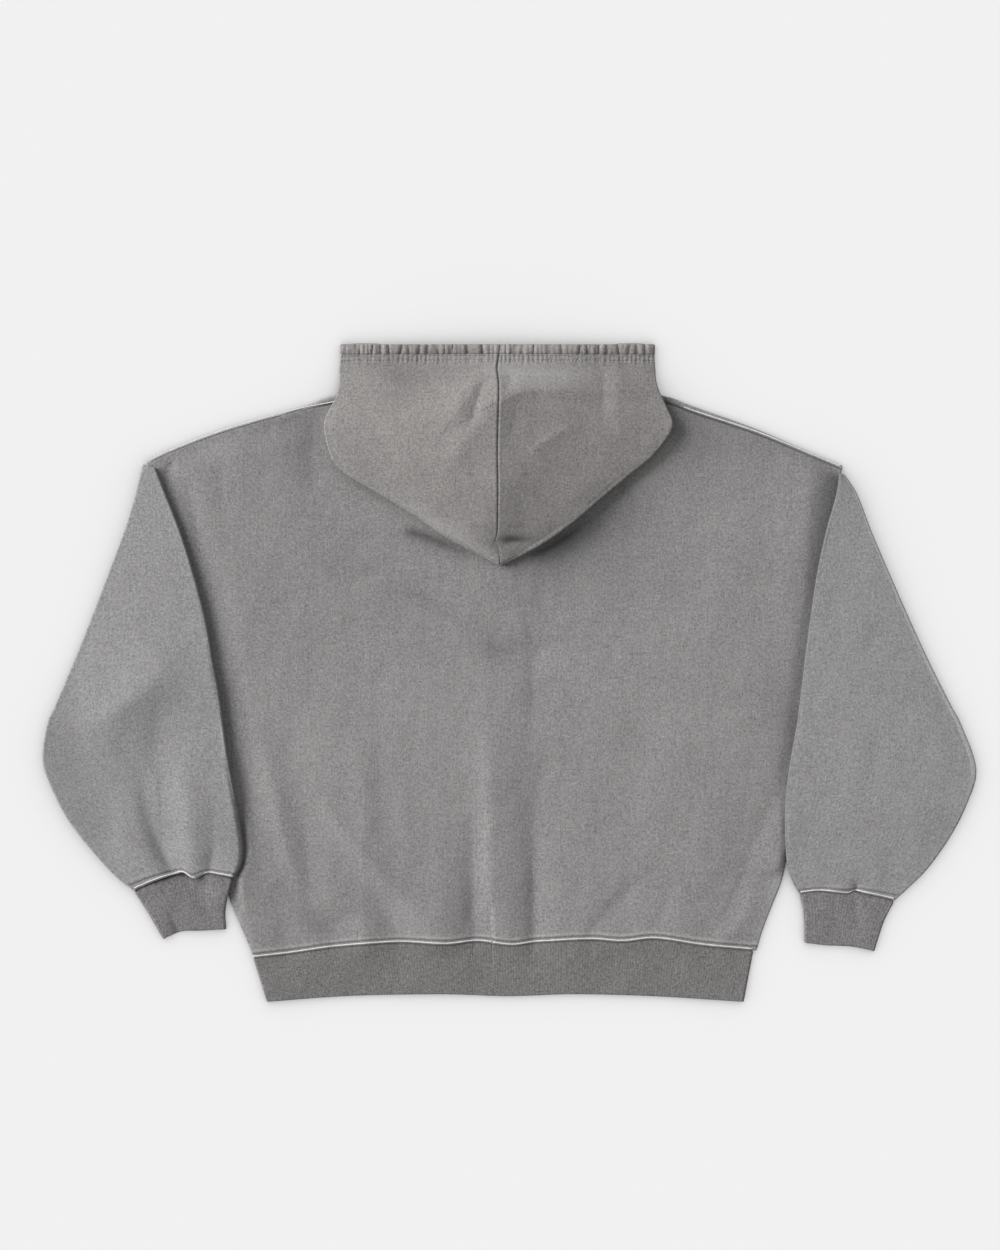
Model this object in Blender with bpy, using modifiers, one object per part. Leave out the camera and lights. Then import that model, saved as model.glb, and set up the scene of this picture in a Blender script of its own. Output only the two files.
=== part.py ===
"""Zip-up hoodie laid flat on its front, with its hood spread out over the back.

Sizes are millimetres in the garment's own frame: x from the centre-back line, y up from the hem,
z up from the surface that the garment lies on. place() turns them into metres about the middle of
the outline. A wall of cloth is a grid laid over its middle surface and given its thickness by a
Solidify modifier, so each height z below is that of a middle surface.
"""

import math

import bmesh
import bpy
from mathutils import Vector

# Driving dimensions
LEFT_REACH = 480.0  # centre-back line to the left sleeve's elbow
RIGHT_REACH = 502.0  # centre-back line to the right sleeve's elbow
LENGTH = 690.0  # hem edge to the hood's face edge
CLOTH = 2.0  # thickness of the brushed-back fleece
RIB = 2.0  # thickness of the doubled rib
SEAM = 0.3  # clearance between two pieces at a seam
NECK_HALF = 105.0  # centre back to the neck end of the shoulder seam
NECK_TOP = 648.0
BACK_NECK_HALF = 114.0  # half width of the back neckline, which curves in past the shoulder seams
BACK_NECK = 622.0  # height of the back neckline at the centre
FRONT_NECK = 560.0  # height of the front neckline at the zip
UNDERARM = 312.0  # height of the lower end of the armholes
SHOULDER_TIP = 568.0  # height of the tip of the shoulder, at the top of an armhole
HEM_SIDE = 46.0  # height of the hem seam at the side seams
ROLL_AT_NECK = 6.5  # how far the shoulder seam lies back from the outline, at the neck
ROLL_AT_TIP = 3.4  # and at the tip of the shoulder
ZIP_EDGE = 6.0  # centre line to each front's edge
CASING_THICK = 3.6  # the hood's face edge, turned in and doubled for a drawcord

# Heights of the middle surfaces of the layers
FLOOR = CLOTH / 2  # the fronts, and all that lies on the surface
BACK = FLOOR + 4.0  # the back, 2 mm clear of the fronts
ON_BACK = BACK + CLOTH + 0.6  # what lies on the back
RIB_FLOOR = RIB / 2

# The zip. Its slider and pull lie under the fronts, which they hold off the surface.
TAPE_WIDE = 11.0
TAPE_THICK = 0.6
CHAIN_WIDE = 5.6
CHAIN_THICK = 2.4
TAPE_LEVEL = FLOOR + CLOTH / 2 + SEAM + TAPE_THICK / 2
CHAIN_LEVEL = 2.45
ZIP_FOOT = 9.0  # heights of the zip's two ends
ZIP_HEAD = 558.5
BOX_LONG = 7.5
BOX_HALF = 2.7
STOP_HEIGHTS = (554.0, 556.5)
STOP_ACROSS = (3.2, 5.2)
STOP_THICK = 1.2
SLIDER_LIFT = 3.05  # how far the slider holds the zip and the fronts off the surface
BACK_LIFT = 5.0  # and the back above them
SLIDER_LONG = 13.0
SLIDER_WIDE = 10.0
PLATE = 1.0  # thickness of the slider's two plates
HINGE_Y = 545.5
HINGE_Z = 2.2
ARCH_INSIDE = 5.2  # length of the arch that holds the pull
ARCH_BAR = 1.0
ARCH_WIDE = 2.2
PULL_LONG = 26.0
PULL_WIDE = 8.0
PULL_THICK = 1.0
PULL_EYE = 3.4  # width of the eye that the arch passes through
PULL_EYE_LONG = 4.5

MATERIALS = {
    "fleece": ((0.285, 0.276, 0.274), 0.95, 0.0),
    "rib": ((0.185, 0.180, 0.176), 0.95, 0.0),
    "zip_tape": ((0.150, 0.147, 0.146), 0.85, 0.0),
    "zip_metal": ((0.420, 0.410, 0.400), 0.35, 1.0),
}


class Table:
    """Rows of sizes with named columns. A column is read as a smooth curve over the first one."""

    def __init__(self, columns, *rows):
        self.columns = columns.split()
        self.rows = rows

    def column(self, name):
        return [row[self.columns.index(name)] for row in self.rows]

    def at(self, key, name):
        keys, values = self.column(self.columns[0]), self.column(name)
        key = min(max(key, keys[0]), keys[-1])
        i = max(n for n in range(len(keys) - 1) if keys[n] <= key)
        span = keys[i + 1] - keys[i]
        t = (key - keys[i]) / span
        ends = []
        for n in (i, i + 1):
            low, high = max(n - 1, 0), min(n + 1, len(keys) - 1)
            ends.append((values[high] - values[low]) / (keys[high] - keys[low]) * span)
        a, b = values[i], values[i + 1]
        rise = t * t * (3 - 2 * t)
        return a + (b - a) * rise + ends[0] * t * (1 - t) ** 2 - ends[1] * t * t * (1 - t)


# The body's outline, the part of it under the sleeves included
SIDES = Table(
    "height left right",
    (46, -260, 268),
    (76, -271, 277),
    (102, -282, 287),
    (128, -288, 297),
    (165, -298, 304),
    (212, -310, 312),
    (265, -320, 320),
    (312, -328, 328),
    (380, -341, 339),
    (464, -352, 350),
    (527, -361, 357),
    (568, -370, 361),
)
SHOULDER = Table(
    "across outline",
    (-370, 568),
    (-348, 578),
    (-281, 604),
    (-208, 628),
    (-178, 635),
    (-105, 648),
    (105, 648),
    (178, 637),
    (200, 629),
    (267, 604),
    (324, 579),
    (361, 563),
)
HEM_SEAM = Table(
    "across height",
    (-260, 46),
    (-222, 50),
    (-172, 57),
    (-105, 62),
    (-55, 60),
    (-21, 63),
    (13, 59),
    (40, 62),
    (97, 65),
    (130, 63),
    (164, 66),
    (214, 59),
    (268, 54),
)
HEM_EDGE = Table(
    "across height", (-246, 0), (-160, 6), (-59, 8), (10, 6), (75, 8), (160, 6), (256, 0)
)
# Places across the body that its rows of points pass through, at the shoulder. The same ones
# serve the hem, so that the pieces meet point to point.
FRONT_ACROSS = (322, 270, 225, 178, 140, 112, 104, 99, 88, 70, 44, 18, ZIP_EDGE)
BACK_ACROSS = (322, 270, 225, 178, 140, 112, 104, 78, 54, 28, 9)
BACK_ACROSS = (*(-across for across in BACK_ACROSS), *BACK_ACROSS[::-1])
# Heights of those rows at the side seams and armholes, between the hem seam and the shoulder
BACK_ROWS = (66, 95, 130, 175, 225, 280, 309, 328, 354, 400, 450, 494, 532)
FRONT_ROWS = (95, 175, 280, 309, 328, 400, 450, 494, 532)

# Each row of a sleeve runs straight from its outer fold to its inner one, bowed up by bow
# between them. fold is the radius of both folds. under says where the layer beneath ends: 0 on
# the back's armhole edge, 1 on the surface beside the body. lap is 1 where the inner fold lies
# on the body, 0 where it lies on the surface.
FRONT_RIB_HALF = 248.0  # the front of the hem's rib is flat out to here
CUFF_GAP = 0.6  # between a sleeve and its cuff, whose facets differ
LOWER_BOW = 0.2  # share of a row's bow in the layer beneath
SLEEVES = {
    "left": Table(
        "row outer_x outer_y inner_x inner_y bow fold under lap",
        (0, -373.5, 563, -362, 560, 0, 1.4, 0, 1),
        (1, -383, 532, -352, 532, 0, 1.8, 0, 1),
        (2, -396, 494, -338, 494, 0, 2.2, 0, 1),
        (3, -413, 450, -325, 450, 0, 2.4, 0, 1),
        (4, -432, 400, -312, 400, 0, 2.6, 0, 1),
        (5, -450, 354, -304, 354, 0, 3.0, 0, 1),
        (6, -460, 328, -299, 328, 0, 3.4, 0, 1),
        (7, -467, 309, -296, 309, 0, 3.8, 0.3, 1),
        (8, -474, 290, -293, 290, 0, 4.2, 0.7, 1),
        (9, -480, 255, -287, 255, 0, 4.4, 1, 1),
        (10, -471, 225, -281, 222, 1, 4.4, 1, 1),
        (11, -453, 190, -277, 188, 3, 4.2, 1, 1),
        (12, -428, 158, -275, 160, 6, 3.6, 1, 1),
        (13, -403, 132, -277, 143, 9, 2.8, 1, 1),
        (14, -384, 117, -281, 131, 10, 2.2, 1, 1),
    ),
    "right": Table(
        "row outer_x outer_y inner_x inner_y bow fold under lap",
        (0, 364.5, 557, 353, 555, 0, 1.4, 0, 1),
        (1, 377, 532, 351, 532, 0, 1.8, 0, 1),
        (2, 393, 494, 341, 494, 0, 2.2, 0, 1),
        (3, 412, 450, 332, 450, 0, 2.4, 0, 1),
        (4, 434, 400, 324, 400, 0, 2.6, 0, 1),
        (5, 455, 354, 318, 354, 0, 2.8, 0, 1),
        (6, 467, 328, 315, 328, 0, 3.0, 0, 1),
        (7, 476, 309, 313, 309, 0, 3.2, 0.3, 1),
        (8, 485, 290, 311, 290, 0, 3.4, 0.7, 1),
        (9, 502, 244, 304, 244, 0, 3.4, 1, 1),
        (10, 490, 206, 301, 206, 0, 3.4, 1, 1),
        (11, 473, 172, 300, 172, 0, 3.0, 1, 1),
        (12, 450, 140, 302.5, 142, 2, 2.6, 1, 1),
        (13, 430, 120, 309, 124, 4, 2.4, 1, 0),
        (14, 415, 107, 315, 114, 5, 2.2, 1, 0),
    ),
}
# A cuff's sections below its seam. lift raises the end beside the body on to it.
CUFFS = {
    "left": Table(
        "row outer_x outer_y inner_x inner_y bow lift",
        (1, -372, 97, -285, 112, 7, 6.6),
        (2, -363, 82, -287, 94, 4, 0),
        (3, -354, 67, -286, 77, 1, 0),
    ),
    "right": Table(
        "row outer_x outer_y inner_x inner_y bow lift",
        (1, 405, 87, 319, 95, 4, 0),
        (2, 399, 70, 320, 79, 3, 0),
        (3, 394, 54, 320, 63, 1, 0),
    ),
}
# Lines of the hood from the centre-back seam (0) to its face edge (13). Each leaves the neckline
# at neck, passes middle, turns over with radius fold at the outline, where left_x, left_y and
# right_x, right_y are the two halves' own, and ends on the hood's centre seam at crown.
HOOD = Table(
    "line neck_x neck_y neck_z middle_x middle_y middle_z left_x left_y right_x right_y outline_z"
    " fold crown_y crown_z",
    (0, 0, 621, 7.6, 0, 540, 7.8, 2, 459.5, 2, 459.5, 7.8, 4.0, 479, 21),
    (1, 18, 622, 7.6, 24, 545, 7.8, -24, 469, 23, 467, 7.8, 4.4, 492, 24),
    (2, 36, 623, 7.6, 46, 555, 7.8, -52, 485, 50, 483, 7.8, 4.8, 508, 27),
    (3, 54, 624, 7.6, 70, 568, 7.8, -89, 510, 79, 504, 7.8, 5.0, 526, 29.5),
    (4, 70, 627, 7.6, 94, 584, 7.8, -126, 533, 108, 529, 7.8, 5.0, 545, 31),
    (5, 81, 628, 7.6, 116, 602, 7.8, -158, 552, 135, 554, 7.8, 5.0, 565, 31.5),
    (6, 91, 630, 7.6, 132, 618, 7.8, -176, 572, 158, 574, 7.8, 5.0, 585, 31),
    (7, 98, 632, 7.6, 140, 630, 7.8, -185, 603, 180, 601, 7.8, 5.0, 604, 30),
    (8, 104, 638, 7.6, 140, 643, 7.8, -180, 620, 176, 622, 7.8, 4.6, 622, 28),
    (9, 101, 647, 4.5, 126, 656, 7.0, -173, 636, 169.5, 637, 7.6, 4.2, 637, 25.5),
    (10, 101, 631, 1.8, 101, 662, 3.2, -169, 650, 166, 650, 3.4, 4.0, 650, 24),
    (11, 69.8, 581.6, 1.0, 90, 662, 1.2, -167.5, 663, 164, 663, 1.2, 3.6, 664, 23),
    (12, 18, 561.6, 1.8, 68, 654, 1.8, -166, 678, 163, 678, 1.8, 3.2, 678, 22),
    (13, 6.5, 561, 1.8, 58, 664, 1.8, -166, 690, 163, 690, 1.8, 3.2, 690, 21.5),
)
# The centre seam's wander from the centre line
CROWN_LINE = Table(
    "height across", (459, 2), (468, -1), (490, -2), (580, -2.5), (665, -3.5), (690, -2.5)
)
# Soft ridges of the back that the hem's gathering makes, from foot to top.
RIDGES = Table(
    "ridge foot_x foot_y top_x top_y height half_width",
    (0, -212, 84, -256, 280, 3.0, 11),
    (1, -84, 72, -205, 255, 3.5, 16),
    (2, -16, 70, -19, 270, 5.0, 14),
    (3, 45, 72, 42, 225, 3.5, 14),
    (4, 105, 82, 180, 165, 2.5, 12),
    (5, 225, 70, 280, 130, 2.0, 12),
)

hoodie = bpy.data.collections.new("zip_up_hoodie")
cutters = bpy.data.collections.new("cutters")


def place(point):
    """A point of the garment's frame in metres, about the middle of its outline."""
    x, y, z = point
    middle_x = (RIGHT_REACH - LEFT_REACH) / 2
    return ((x - middle_x) / 1000, (y - LENGTH / 2) / 1000, z / 1000)


def mix(a, b, share):
    return a + (b - a) * share


def ease(value, start, end):
    """0 before start, 1 past end, and a smooth rise between them."""
    share = min(max((value - start) / (end - start), 0.0), 1.0)
    return share * share * (3 - 2 * share)


def steps(count):
    return [n / (count - 1) for n in range(count)]


def outward(which):
    return -1 if which == "left" else 1


def front_lift(x, y):
    """How far the zip's slider and pull hold the cloth beside them off the surface."""
    along = ease(y, 480, 514) * (1 - ease(y, 566, 600))
    return SLIDER_LIFT * along * (1 - ease(abs(x), 12, 45))


def back_lift(x, y):
    """How far they hold up the back, and what lies on that."""
    along = ease(y, 460, 545) * (1 - ease(y, 556, 615))
    return BACK_LIFT * along * (1 - ease(abs(x), 18, 75))


def ridge_height(x, y):
    """The gathers above the hem, each a soft ridge that dies away towards its top."""
    total = 0.0
    for _, foot_x, foot_y, top_x, top_y, height, half_width in RIDGES.rows:
        run_x, run_y = top_x - foot_x, top_y - foot_y
        length = math.hypot(run_x, run_y)
        along = ((x - foot_x) * run_x + (y - foot_y) * run_y) / length**2
        off = ((x - foot_x) * run_y - (y - foot_y) * run_x) / length
        fade = ease(along, -0.12, 0.12) * (1 - ease(along, 0.35, 1.1))
        total += height * fade * math.exp(-((off / half_width) ** 2))
    return total


def material(name):
    found = bpy.data.materials.get(name)
    if found:
        return found
    colour, roughness, metallic = MATERIALS[name]
    made = bpy.data.materials.new(name)
    made.use_nodes = True
    shader = made.node_tree.nodes["Principled BSDF"]
    shader.inputs["Base Color"].default_value = (*colour, 1)
    shader.inputs["Roughness"].default_value = roughness
    shader.inputs["Metallic"].default_value = metallic
    return made


def add(name, shape, finish):
    """The bmesh as a named object of the hoodie, with its finish."""
    mesh = bpy.data.meshes.new(name)
    shape.to_mesh(mesh)
    shape.free()
    obj = bpy.data.objects.new(name, mesh)
    hoodie.objects.link(obj)
    mesh.materials.append(material(finish))
    mesh.shade_smooth()
    mesh.set_sharp_from_angle(angle=math.radians(40))
    return obj


def wall(name, rows, finish, thickness=CLOTH, ring=False):
    """A wall whose middle surface passes through rows of points. A ring's rows are closed."""
    rows = [row + row[:1] if ring else row for row in rows]
    shape = bmesh.new()
    bmesh.ops.create_grid(shape, x_segments=len(rows[0]) - 1, y_segments=len(rows) - 1, size=1)
    in_order = sorted(shape.verts, key=lambda v: (round(v.co.y, 5), round(v.co.x, 5)))
    for vert, point in zip(in_order, [point for row in rows for point in row], strict=True):
        vert.co = place(point)
    if ring:
        bmesh.ops.remove_doubles(shape, verts=shape.verts, dist=1e-6)
    obj = add(name, shape, finish)
    solidify = obj.modifiers.new("thickness", "SOLIDIFY")
    solidify.thickness = thickness / 1000
    solidify.offset = 0
    solidify.use_even_offset = True
    return obj


def block(name, low, high, finish, bevel=0.0):
    """A box between two corners, with its edges rounded."""
    shape = bmesh.new()
    bmesh.ops.create_cube(shape, size=1)
    for vert in shape.verts:
        corner = [low[n] if vert.co[n] < 0 else high[n] for n in range(3)]
        vert.co = place(corner)
    obj = add(name, shape, finish)
    if bevel:
        rounding = obj.modifiers.new("rounded edges", "BEVEL")
        rounding.width = bevel / 1000
        rounding.segments = 2
    return obj


def boolean(obj, other, operation):
    """Joins the other object to this one or cuts it away. The other stays as a hidden guide."""
    hoodie.objects.unlink(other)
    cutters.objects.link(other)
    other.hide_render = True
    other.display_type = "WIRE"
    modifier = obj.modifiers.new(other.name, "BOOLEAN")
    modifier.operation = operation
    modifier.object = other
    modifier.solver = "EXACT"


def side(height, which):
    return SIDES.at(height, which)


def hem_seam(x):
    return HEM_SEAM.at(x, "height")


def roll(x):
    """How far the shoulder seam lies back from the outline."""
    return mix(ROLL_AT_NECK, ROLL_AT_TIP, ease(abs(x), 190, 330))


def outline_top(x):
    return SHOULDER.at(x, "outline")


def back_top(x):
    """Height of the back's top edge: the shoulder seams, and the back neckline between them."""
    if abs(x) >= BACK_NECK_HALF:
        return outline_top(x) - roll(x) - SEAM / 2
    dip = math.sqrt(1 - (x / BACK_NECK_HALF) ** 2)
    return mix(outline_top(BACK_NECK_HALF) - ROLL_AT_NECK, BACK_NECK, dip)


def front_top(x):
    """Height of a front's top edge: the shoulder's outline, and the front neckline."""
    if abs(x) >= NECK_HALF:
        return outline_top(x)
    share = (abs(x) - ZIP_EDGE) / (NECK_HALF - ZIP_EDGE)
    return FRONT_NECK + (NECK_TOP - FRONT_NECK) * (1 - math.sqrt(max(1 - share**2, 0)))


def edge_turn(x, y, inwards, level):
    """The last points of a body panel at its side: turned to face the other panel below the
    armhole, and flat beside the sleeve's seam above it."""
    seamed = 1 - ease(y, UNDERARM - 30, UNDERARM + 20)
    middle = (FLOOR + BACK) / 2
    up = 1 if level > middle else -1
    rim = SEAM / 2 + 0.1 + 0.55 * ease(y, 235, 280)
    bend = CLOTH / 2 + 0.45
    knee = max(abs(level - middle) - bend, rim + 0.15)
    # Each point as its distance in from the outline when flat, when turned, and its height there
    turn = (
        (1.0, 1.0, middle + up * rim),
        (2.5, 1.0, middle + up * knee),
        (4.0, 1.0 + bend * 0.3, level - up * bend * 0.3),
        (8.0, 1.0 + bend, level),
    )
    return [(x + inwards * mix(f, t, seamed), y, mix(level, z, seamed)) for f, t, z in turn]


def body_row_heights(rows, which):
    """Heights of a body panel's rows at one side, from the hem seam to the shoulder seam."""
    return [hem_seam(side(HEM_SIDE, which)) + SEAM / 2, *rows, back_top(side(SHOULDER_TIP, which))]


def make_back():
    left_tip, right_tip = side(SHOULDER_TIP, "left"), side(SHOULDER_TIP, "right")
    heights = {which: body_row_heights(BACK_ROWS, which) for which in ("left", "right")}
    rows = []
    for left_y, right_y in zip(heights["left"], heights["right"]):
        left_x, right_x = side(left_y, "left"), side(right_y, "right")
        left_up, right_up = (
            (y - column[0]) / (column[-1] - column[0])
            for y, column in ((left_y, heights["left"]), (right_y, heights["right"]))
        )
        row = []
        for top_x in BACK_ACROSS:
            share = (top_x - left_tip) / (right_tip - left_tip)
            x = mix(left_x, right_x, share)
            up = mix(left_up, right_up, share)
            y = mix(hem_seam(x) + SEAM / 2, back_top(top_x), up)
            row.append((x, y, BACK + ridge_height(x, y) + back_lift(x, y)))
        turns = edge_turn(left_x, left_y, 1, BACK), edge_turn(right_x, right_y, -1, BACK)
        if left_up == 1:
            turns = ([(x, back_top(x), z) for x, _, z in turn] for turn in turns)
        left_turn, right_turn = turns
        rows.append(left_turn + row + right_turn[::-1])
    return wall("back", rows, "fleece")


def front_row(which, edge_y, up, below_top=8.0):
    """A row of a front from its side to the zip. up is 0 at the hem seam and 1 just below the
    shoulder and the neckline."""
    out = outward(which)
    tip, edge_x = abs(side(SHOULDER_TIP, which)), side(edge_y, which)
    row = []
    for across in FRONT_ACROSS:
        share = (tip - across) / (tip - ZIP_EDGE)
        x = mix(edge_x, out * ZIP_EDGE, share)
        y = mix(hem_seam(x) + SEAM / 2, front_top(out * across) - below_top, up)
        row.append((x, y, FLOOR + front_lift(x, y)))
    return row


def make_front(which):
    """One front, its shoulder edge rolled over to the seam on the back."""
    out = outward(which)
    tip = abs(side(SHOULDER_TIP, which))
    heights = body_row_heights(FRONT_ROWS, which)
    rows = []
    for edge_y in heights[:-1]:
        up = (edge_y - heights[0]) / (heights[-1] - heights[0])
        turn = edge_turn(side(edge_y, which), edge_y, -out, FLOOR)
        rows.append(turn + front_row(which, edge_y, up))
    bend = (BACK - FLOOR) / 2
    for angle in (-90, -40, 0, 40, 90):
        row = []
        edge = abs(side(outline_top(out * tip) - 4 + angle / 30, which))
        for across in (*(edge - inset for inset in (1.0, 2.5, 4.0, 8.0)), *FRONT_ACROSS):
            rolled = ease(across, NECK_HALF - 2, NECK_HALF + 7)
            x = out * across
            back_off = 1 + bend * (1 - math.cos(math.radians(angle)))
            if angle > 80:
                back_off = roll(x) - SEAM / 2 - 0.25
            over = FLOOR + bend * (1 + math.sin(math.radians(angle)))
            flat_off = 8.0 * (90 - angle) / 180
            y = front_top(x) - mix(flat_off, back_off, rolled)
            row.append((x, y, mix(FLOOR + front_lift(x, y), over, rolled)))
        rows.append(row)
    return wall(f"front_{which}", rows, "fleece")


def folded(outline, heading, low, high, depth=None, thickness=CLOTH):
    """Points round a fold whose outside reaches the outline, from the lower layer to the upper.
    It is half a circle, or half an ellipse of the given depth."""
    radius = (high - low) / 2
    depth = depth or radius
    points = []
    for angle in (-50, 0, 50):
        back = thickness / 2 + depth * (1 - math.cos(math.radians(angle)))
        rise = radius * (1 + math.sin(math.radians(angle)))
        x, y = (outline[n] - heading[n] * back for n in range(2))
        points.append((x, y, low + rise))
    return points


def sleeve_row(which, row):
    """A section of the sleeve from the front armhole seam, out along the surface, back over the
    top to the inner fold, and under that to the back armhole seam."""
    table = SLEEVES[which]
    value = {name: table.at(row, name) for name in table.columns}
    out = outward(which)
    outer, inner = value["outer_x"], value["inner_x"]
    radius, under = value["fold"], value["under"]

    def height_at(x, bow=value["bow"]):
        share = (x - outer) / (inner - outer)
        line = mix(value["outer_y"], value["inner_y"], share)
        return line + bow * math.sin(math.pi * min(max(share, 0), 1))

    def beneath(x, z):
        return (x, height_at(x, LOWER_BOW * value["bow"]), z)

    edge = side(height_at(mix(outer, inner, 0.85)), which)
    beside = max(out * edge + 15, out * inner + 12) * out
    seam = mix(edge - out, beside, under)
    seam_z = mix(ON_BACK, FLOOR, ease(under, 0.3, 1))
    seam_z = mix(FLOOR, seam_z, value["lap"])
    low = mix(FLOOR, ON_BACK, value["lap"])
    inset = min(radius + 1, abs(outer - inner) * 0.3)
    flat = BACK - FLOOR  # height between two layers where they lie flat
    outer_end, inner_end = outer - out * inset, inner + out * inset
    corner = edge + out * mix(-6, 1.5, under)
    corner = out * max(out * corner, out * inner_end + 1)

    def top(share):
        x = mix(outer_end, inner_end, share)
        puff = (2 * radius - flat) * (ease(share, 0.3, 0) + ease(share, 0.7, 1))
        return (x, height_at(x), mix(FLOOR, low, ease(out * (x - edge), 22, 2)) + flat + puff)

    points = [
        beneath(mix(seam + out * SEAM, outer_end, share), FLOOR) for share in (0, 0.3, 0.65, 1)
    ]
    depth = inset - CLOTH / 2
    points += folded((outer, value["outer_y"]), (out, 0), FLOOR, top(0)[2], depth)
    points += [top(share) for share in (0, 0.14, 0.34, 0.56, 0.76, 0.9, 1)]
    points += folded((inner, value["inner_y"]), (-out, 0), low, top(1)[2], depth)[::-1]
    points += [beneath(inner_end, low), beneath(corner, low)]
    points += [beneath(seam - out * 2, seam_z), beneath(seam, seam_z)]
    return points


def make_sleeve(which):
    rows = [sleeve_row(which, row) for row in SLEEVES[which].column("row")]
    return wall(f"sleeve_{which}", rows, "fleece")


def make_cuff(which):
    """A tube of doubled rib, flattened, with its end beside the body raised on to it."""
    out = outward(which)
    last = SLEEVES[which].rows[-1]
    seam_row = (0, last[1], last[2] - CUFF_GAP, last[3], last[4] - CUFF_GAP, last[5])
    seam_row += (7.0 if which == "left" else 0.0,)
    rows = []
    for _, outer_x, outer_y, inner_x, inner_y, bow, lift in (seam_row, *CUFFS[which].rows):

        def raised(x, y, z):
            return (x, y, z + lift * ease(out * (outer_x - x), 50, 85))

        def layer(share_of_bow, level):
            points = []
            for share in steps(7):
                x = mix(outer_x - out * 3, inner_x + out * 3, share)
                along = (x - outer_x) / (inner_x - outer_x)
                rise = share_of_bow * bow * math.sin(math.pi * along)
                points.append((x, mix(outer_y, inner_y, along) + rise, level))
            return points

        ring = layer(LOWER_BOW, RIB_FLOOR)
        ring += folded((inner_x, inner_y), (-out, 0), RIB_FLOOR, BACK, thickness=RIB)
        ring += layer(1, BACK)[::-1]
        ring += folded((outer_x, outer_y), (out, 0), RIB_FLOOR, BACK, thickness=RIB)[::-1]
        rows.append([raised(*point) for point in ring])
    return wall(f"cuff_{which}", rows, "rib", RIB, ring=True)


def make_hem_band():
    """The hem's doubled rib in one piece round the fronts and the back, open at the zip."""
    edge_ends, seam_ends = (
        (table.rows[0][0], table.rows[-1][0]) for table in (HEM_EDGE, HEM_SEAM)
    )
    fronts = {
        which: [x for x, _, _ in front_row(which, HEM_SIDE, 0) if abs(x) < FRONT_RIB_HALF]
        for which in ("left", "right")
    }
    left_tip, right_tip = side(SHOULDER_TIP, "left"), side(SHOULDER_TIP, "right")
    rows = []
    for up in steps(4):
        left, right = (mix(edge, seam, up) for edge, seam in zip(edge_ends, seam_ends))

        def height(x):
            return mix(HEM_EDGE.at(x, "height"), hem_seam(x) - SEAM / 2, up)

        def flat(places, level):
            return [(x, height(x), level) for x in places]

        across = []
        for top_x in BACK_ACROSS:
            share = (top_x - left_tip) / (right_tip - left_tip)
            across.append(mix(*seam_ends, share))
        row = flat([*fronts["left"][::-1], left + 5], RIB_FLOOR)
        row += folded((left, height(left)), (-1, 0), RIB_FLOOR, BACK, thickness=RIB)
        row += [(x, height(x), BACK + up * 0.8 * ridge_height(x, 84)) for x in across]
        row += folded((right, height(right)), (1, 0), RIB_FLOOR, BACK, thickness=RIB)[::-1]
        row += flat([right - 5, *fronts["right"]], RIB_FLOOR)
        rows.append(row)
    return wall("hem_band", rows, "rib", RIB)


def hood_line(which, value):
    """A line of a hood panel: from the neckline over the body to the outline, turned over there,
    and back along the top to the centre seam."""
    out = outward(which)
    gap = out * (SEAM / 2 + 0.35)
    start = (out * value["neck_x"], value["neck_y"])
    outline = (value[f"{which}_x"], value[f"{which}_y"])
    crown = (CROWN_LINE.at(value["crown_y"], "across") + gap, value["crown_y"])
    middle = (out * value["middle_x"], value["middle_y"])
    if value["line"] == 0:
        start, middle, outline = (
            (point[0] + gap, point[1]) for point in (start, middle, outline)
        )
    toward = []
    for point in (middle, crown):
        run = (outline[0] - point[0], outline[1] - point[1])
        toward.append([part / math.hypot(*run) for part in run])
    heading = [a + b for a, b in zip(*toward)]
    heading = [part / math.hypot(*heading) for part in heading]
    if value["line"] == 0:
        heading = [0, -1]
    radius = value["fold"]
    turn = [outline[n] - heading[n] * (radius + CLOTH / 2) for n in range(2)]
    low = value["outline_z"]
    high = low + 2 * radius
    start, middle, turn = (*start, value["neck_z"]), (*middle, value["middle_z"]), (*turn, low)
    points = []
    for share in (0, 0.25, 0.5, 0.75, 1):
        x, y, z = (
            mix(a, c, share) + (2 * b - a - c) * 2 * share * (1 - share)
            for a, b, c in zip(start, middle, turn)
        )
        under_lift = max(back_lift(x, y + near) for near in (-30, 0, 30))
        on_back = ease(value["middle_z"], 3, 7)
        points.append((x, y, z + mix(front_lift(x, y), under_lift, on_back)))
    points += folded(outline, heading, low, high)
    for share in (0, 0.16, 0.34, 0.54, 0.76, 1):
        x, y = (mix(turn[n], crown[n], share) for n in range(2))
        bulge = 0.5 * share + 0.5 * math.sin(math.pi / 2 * share)
        points.append((x, y, mix(high, value["crown_z"], bulge)))
    return points


def make_hood(which):
    """One half of the hood. Its face edge is thicker, where it is turned in for the casing."""
    rows = [hood_line(which, dict(zip(HOOD.columns, row))) for row in HOOD.rows]
    hood = wall(f"hood_{which}", rows, "fleece", CASING_THICK)
    weights = hood.vertex_groups.new(name="thickness")
    in_order = len(rows[0])
    for vert in hood.data.vertices:
        line = vert.index // in_order
        doubled = 1.0 if line >= len(rows) - 2 else CLOTH / CASING_THICK
        weights.add([vert.index], doubled, "REPLACE")
    hood.modifiers["thickness"].vertex_group = "thickness"
    return hood


def zip_rows():
    """Heights along the zip, those of the fronts' rows included, so that it follows them."""
    heights = body_row_heights(FRONT_ROWS, "left")
    ups = [(y - heights[0]) / (heights[-1] - heights[0]) for y in heights]
    return [front_row("left", HEM_SIDE, up)[-1][1] for up in ups]


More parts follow.
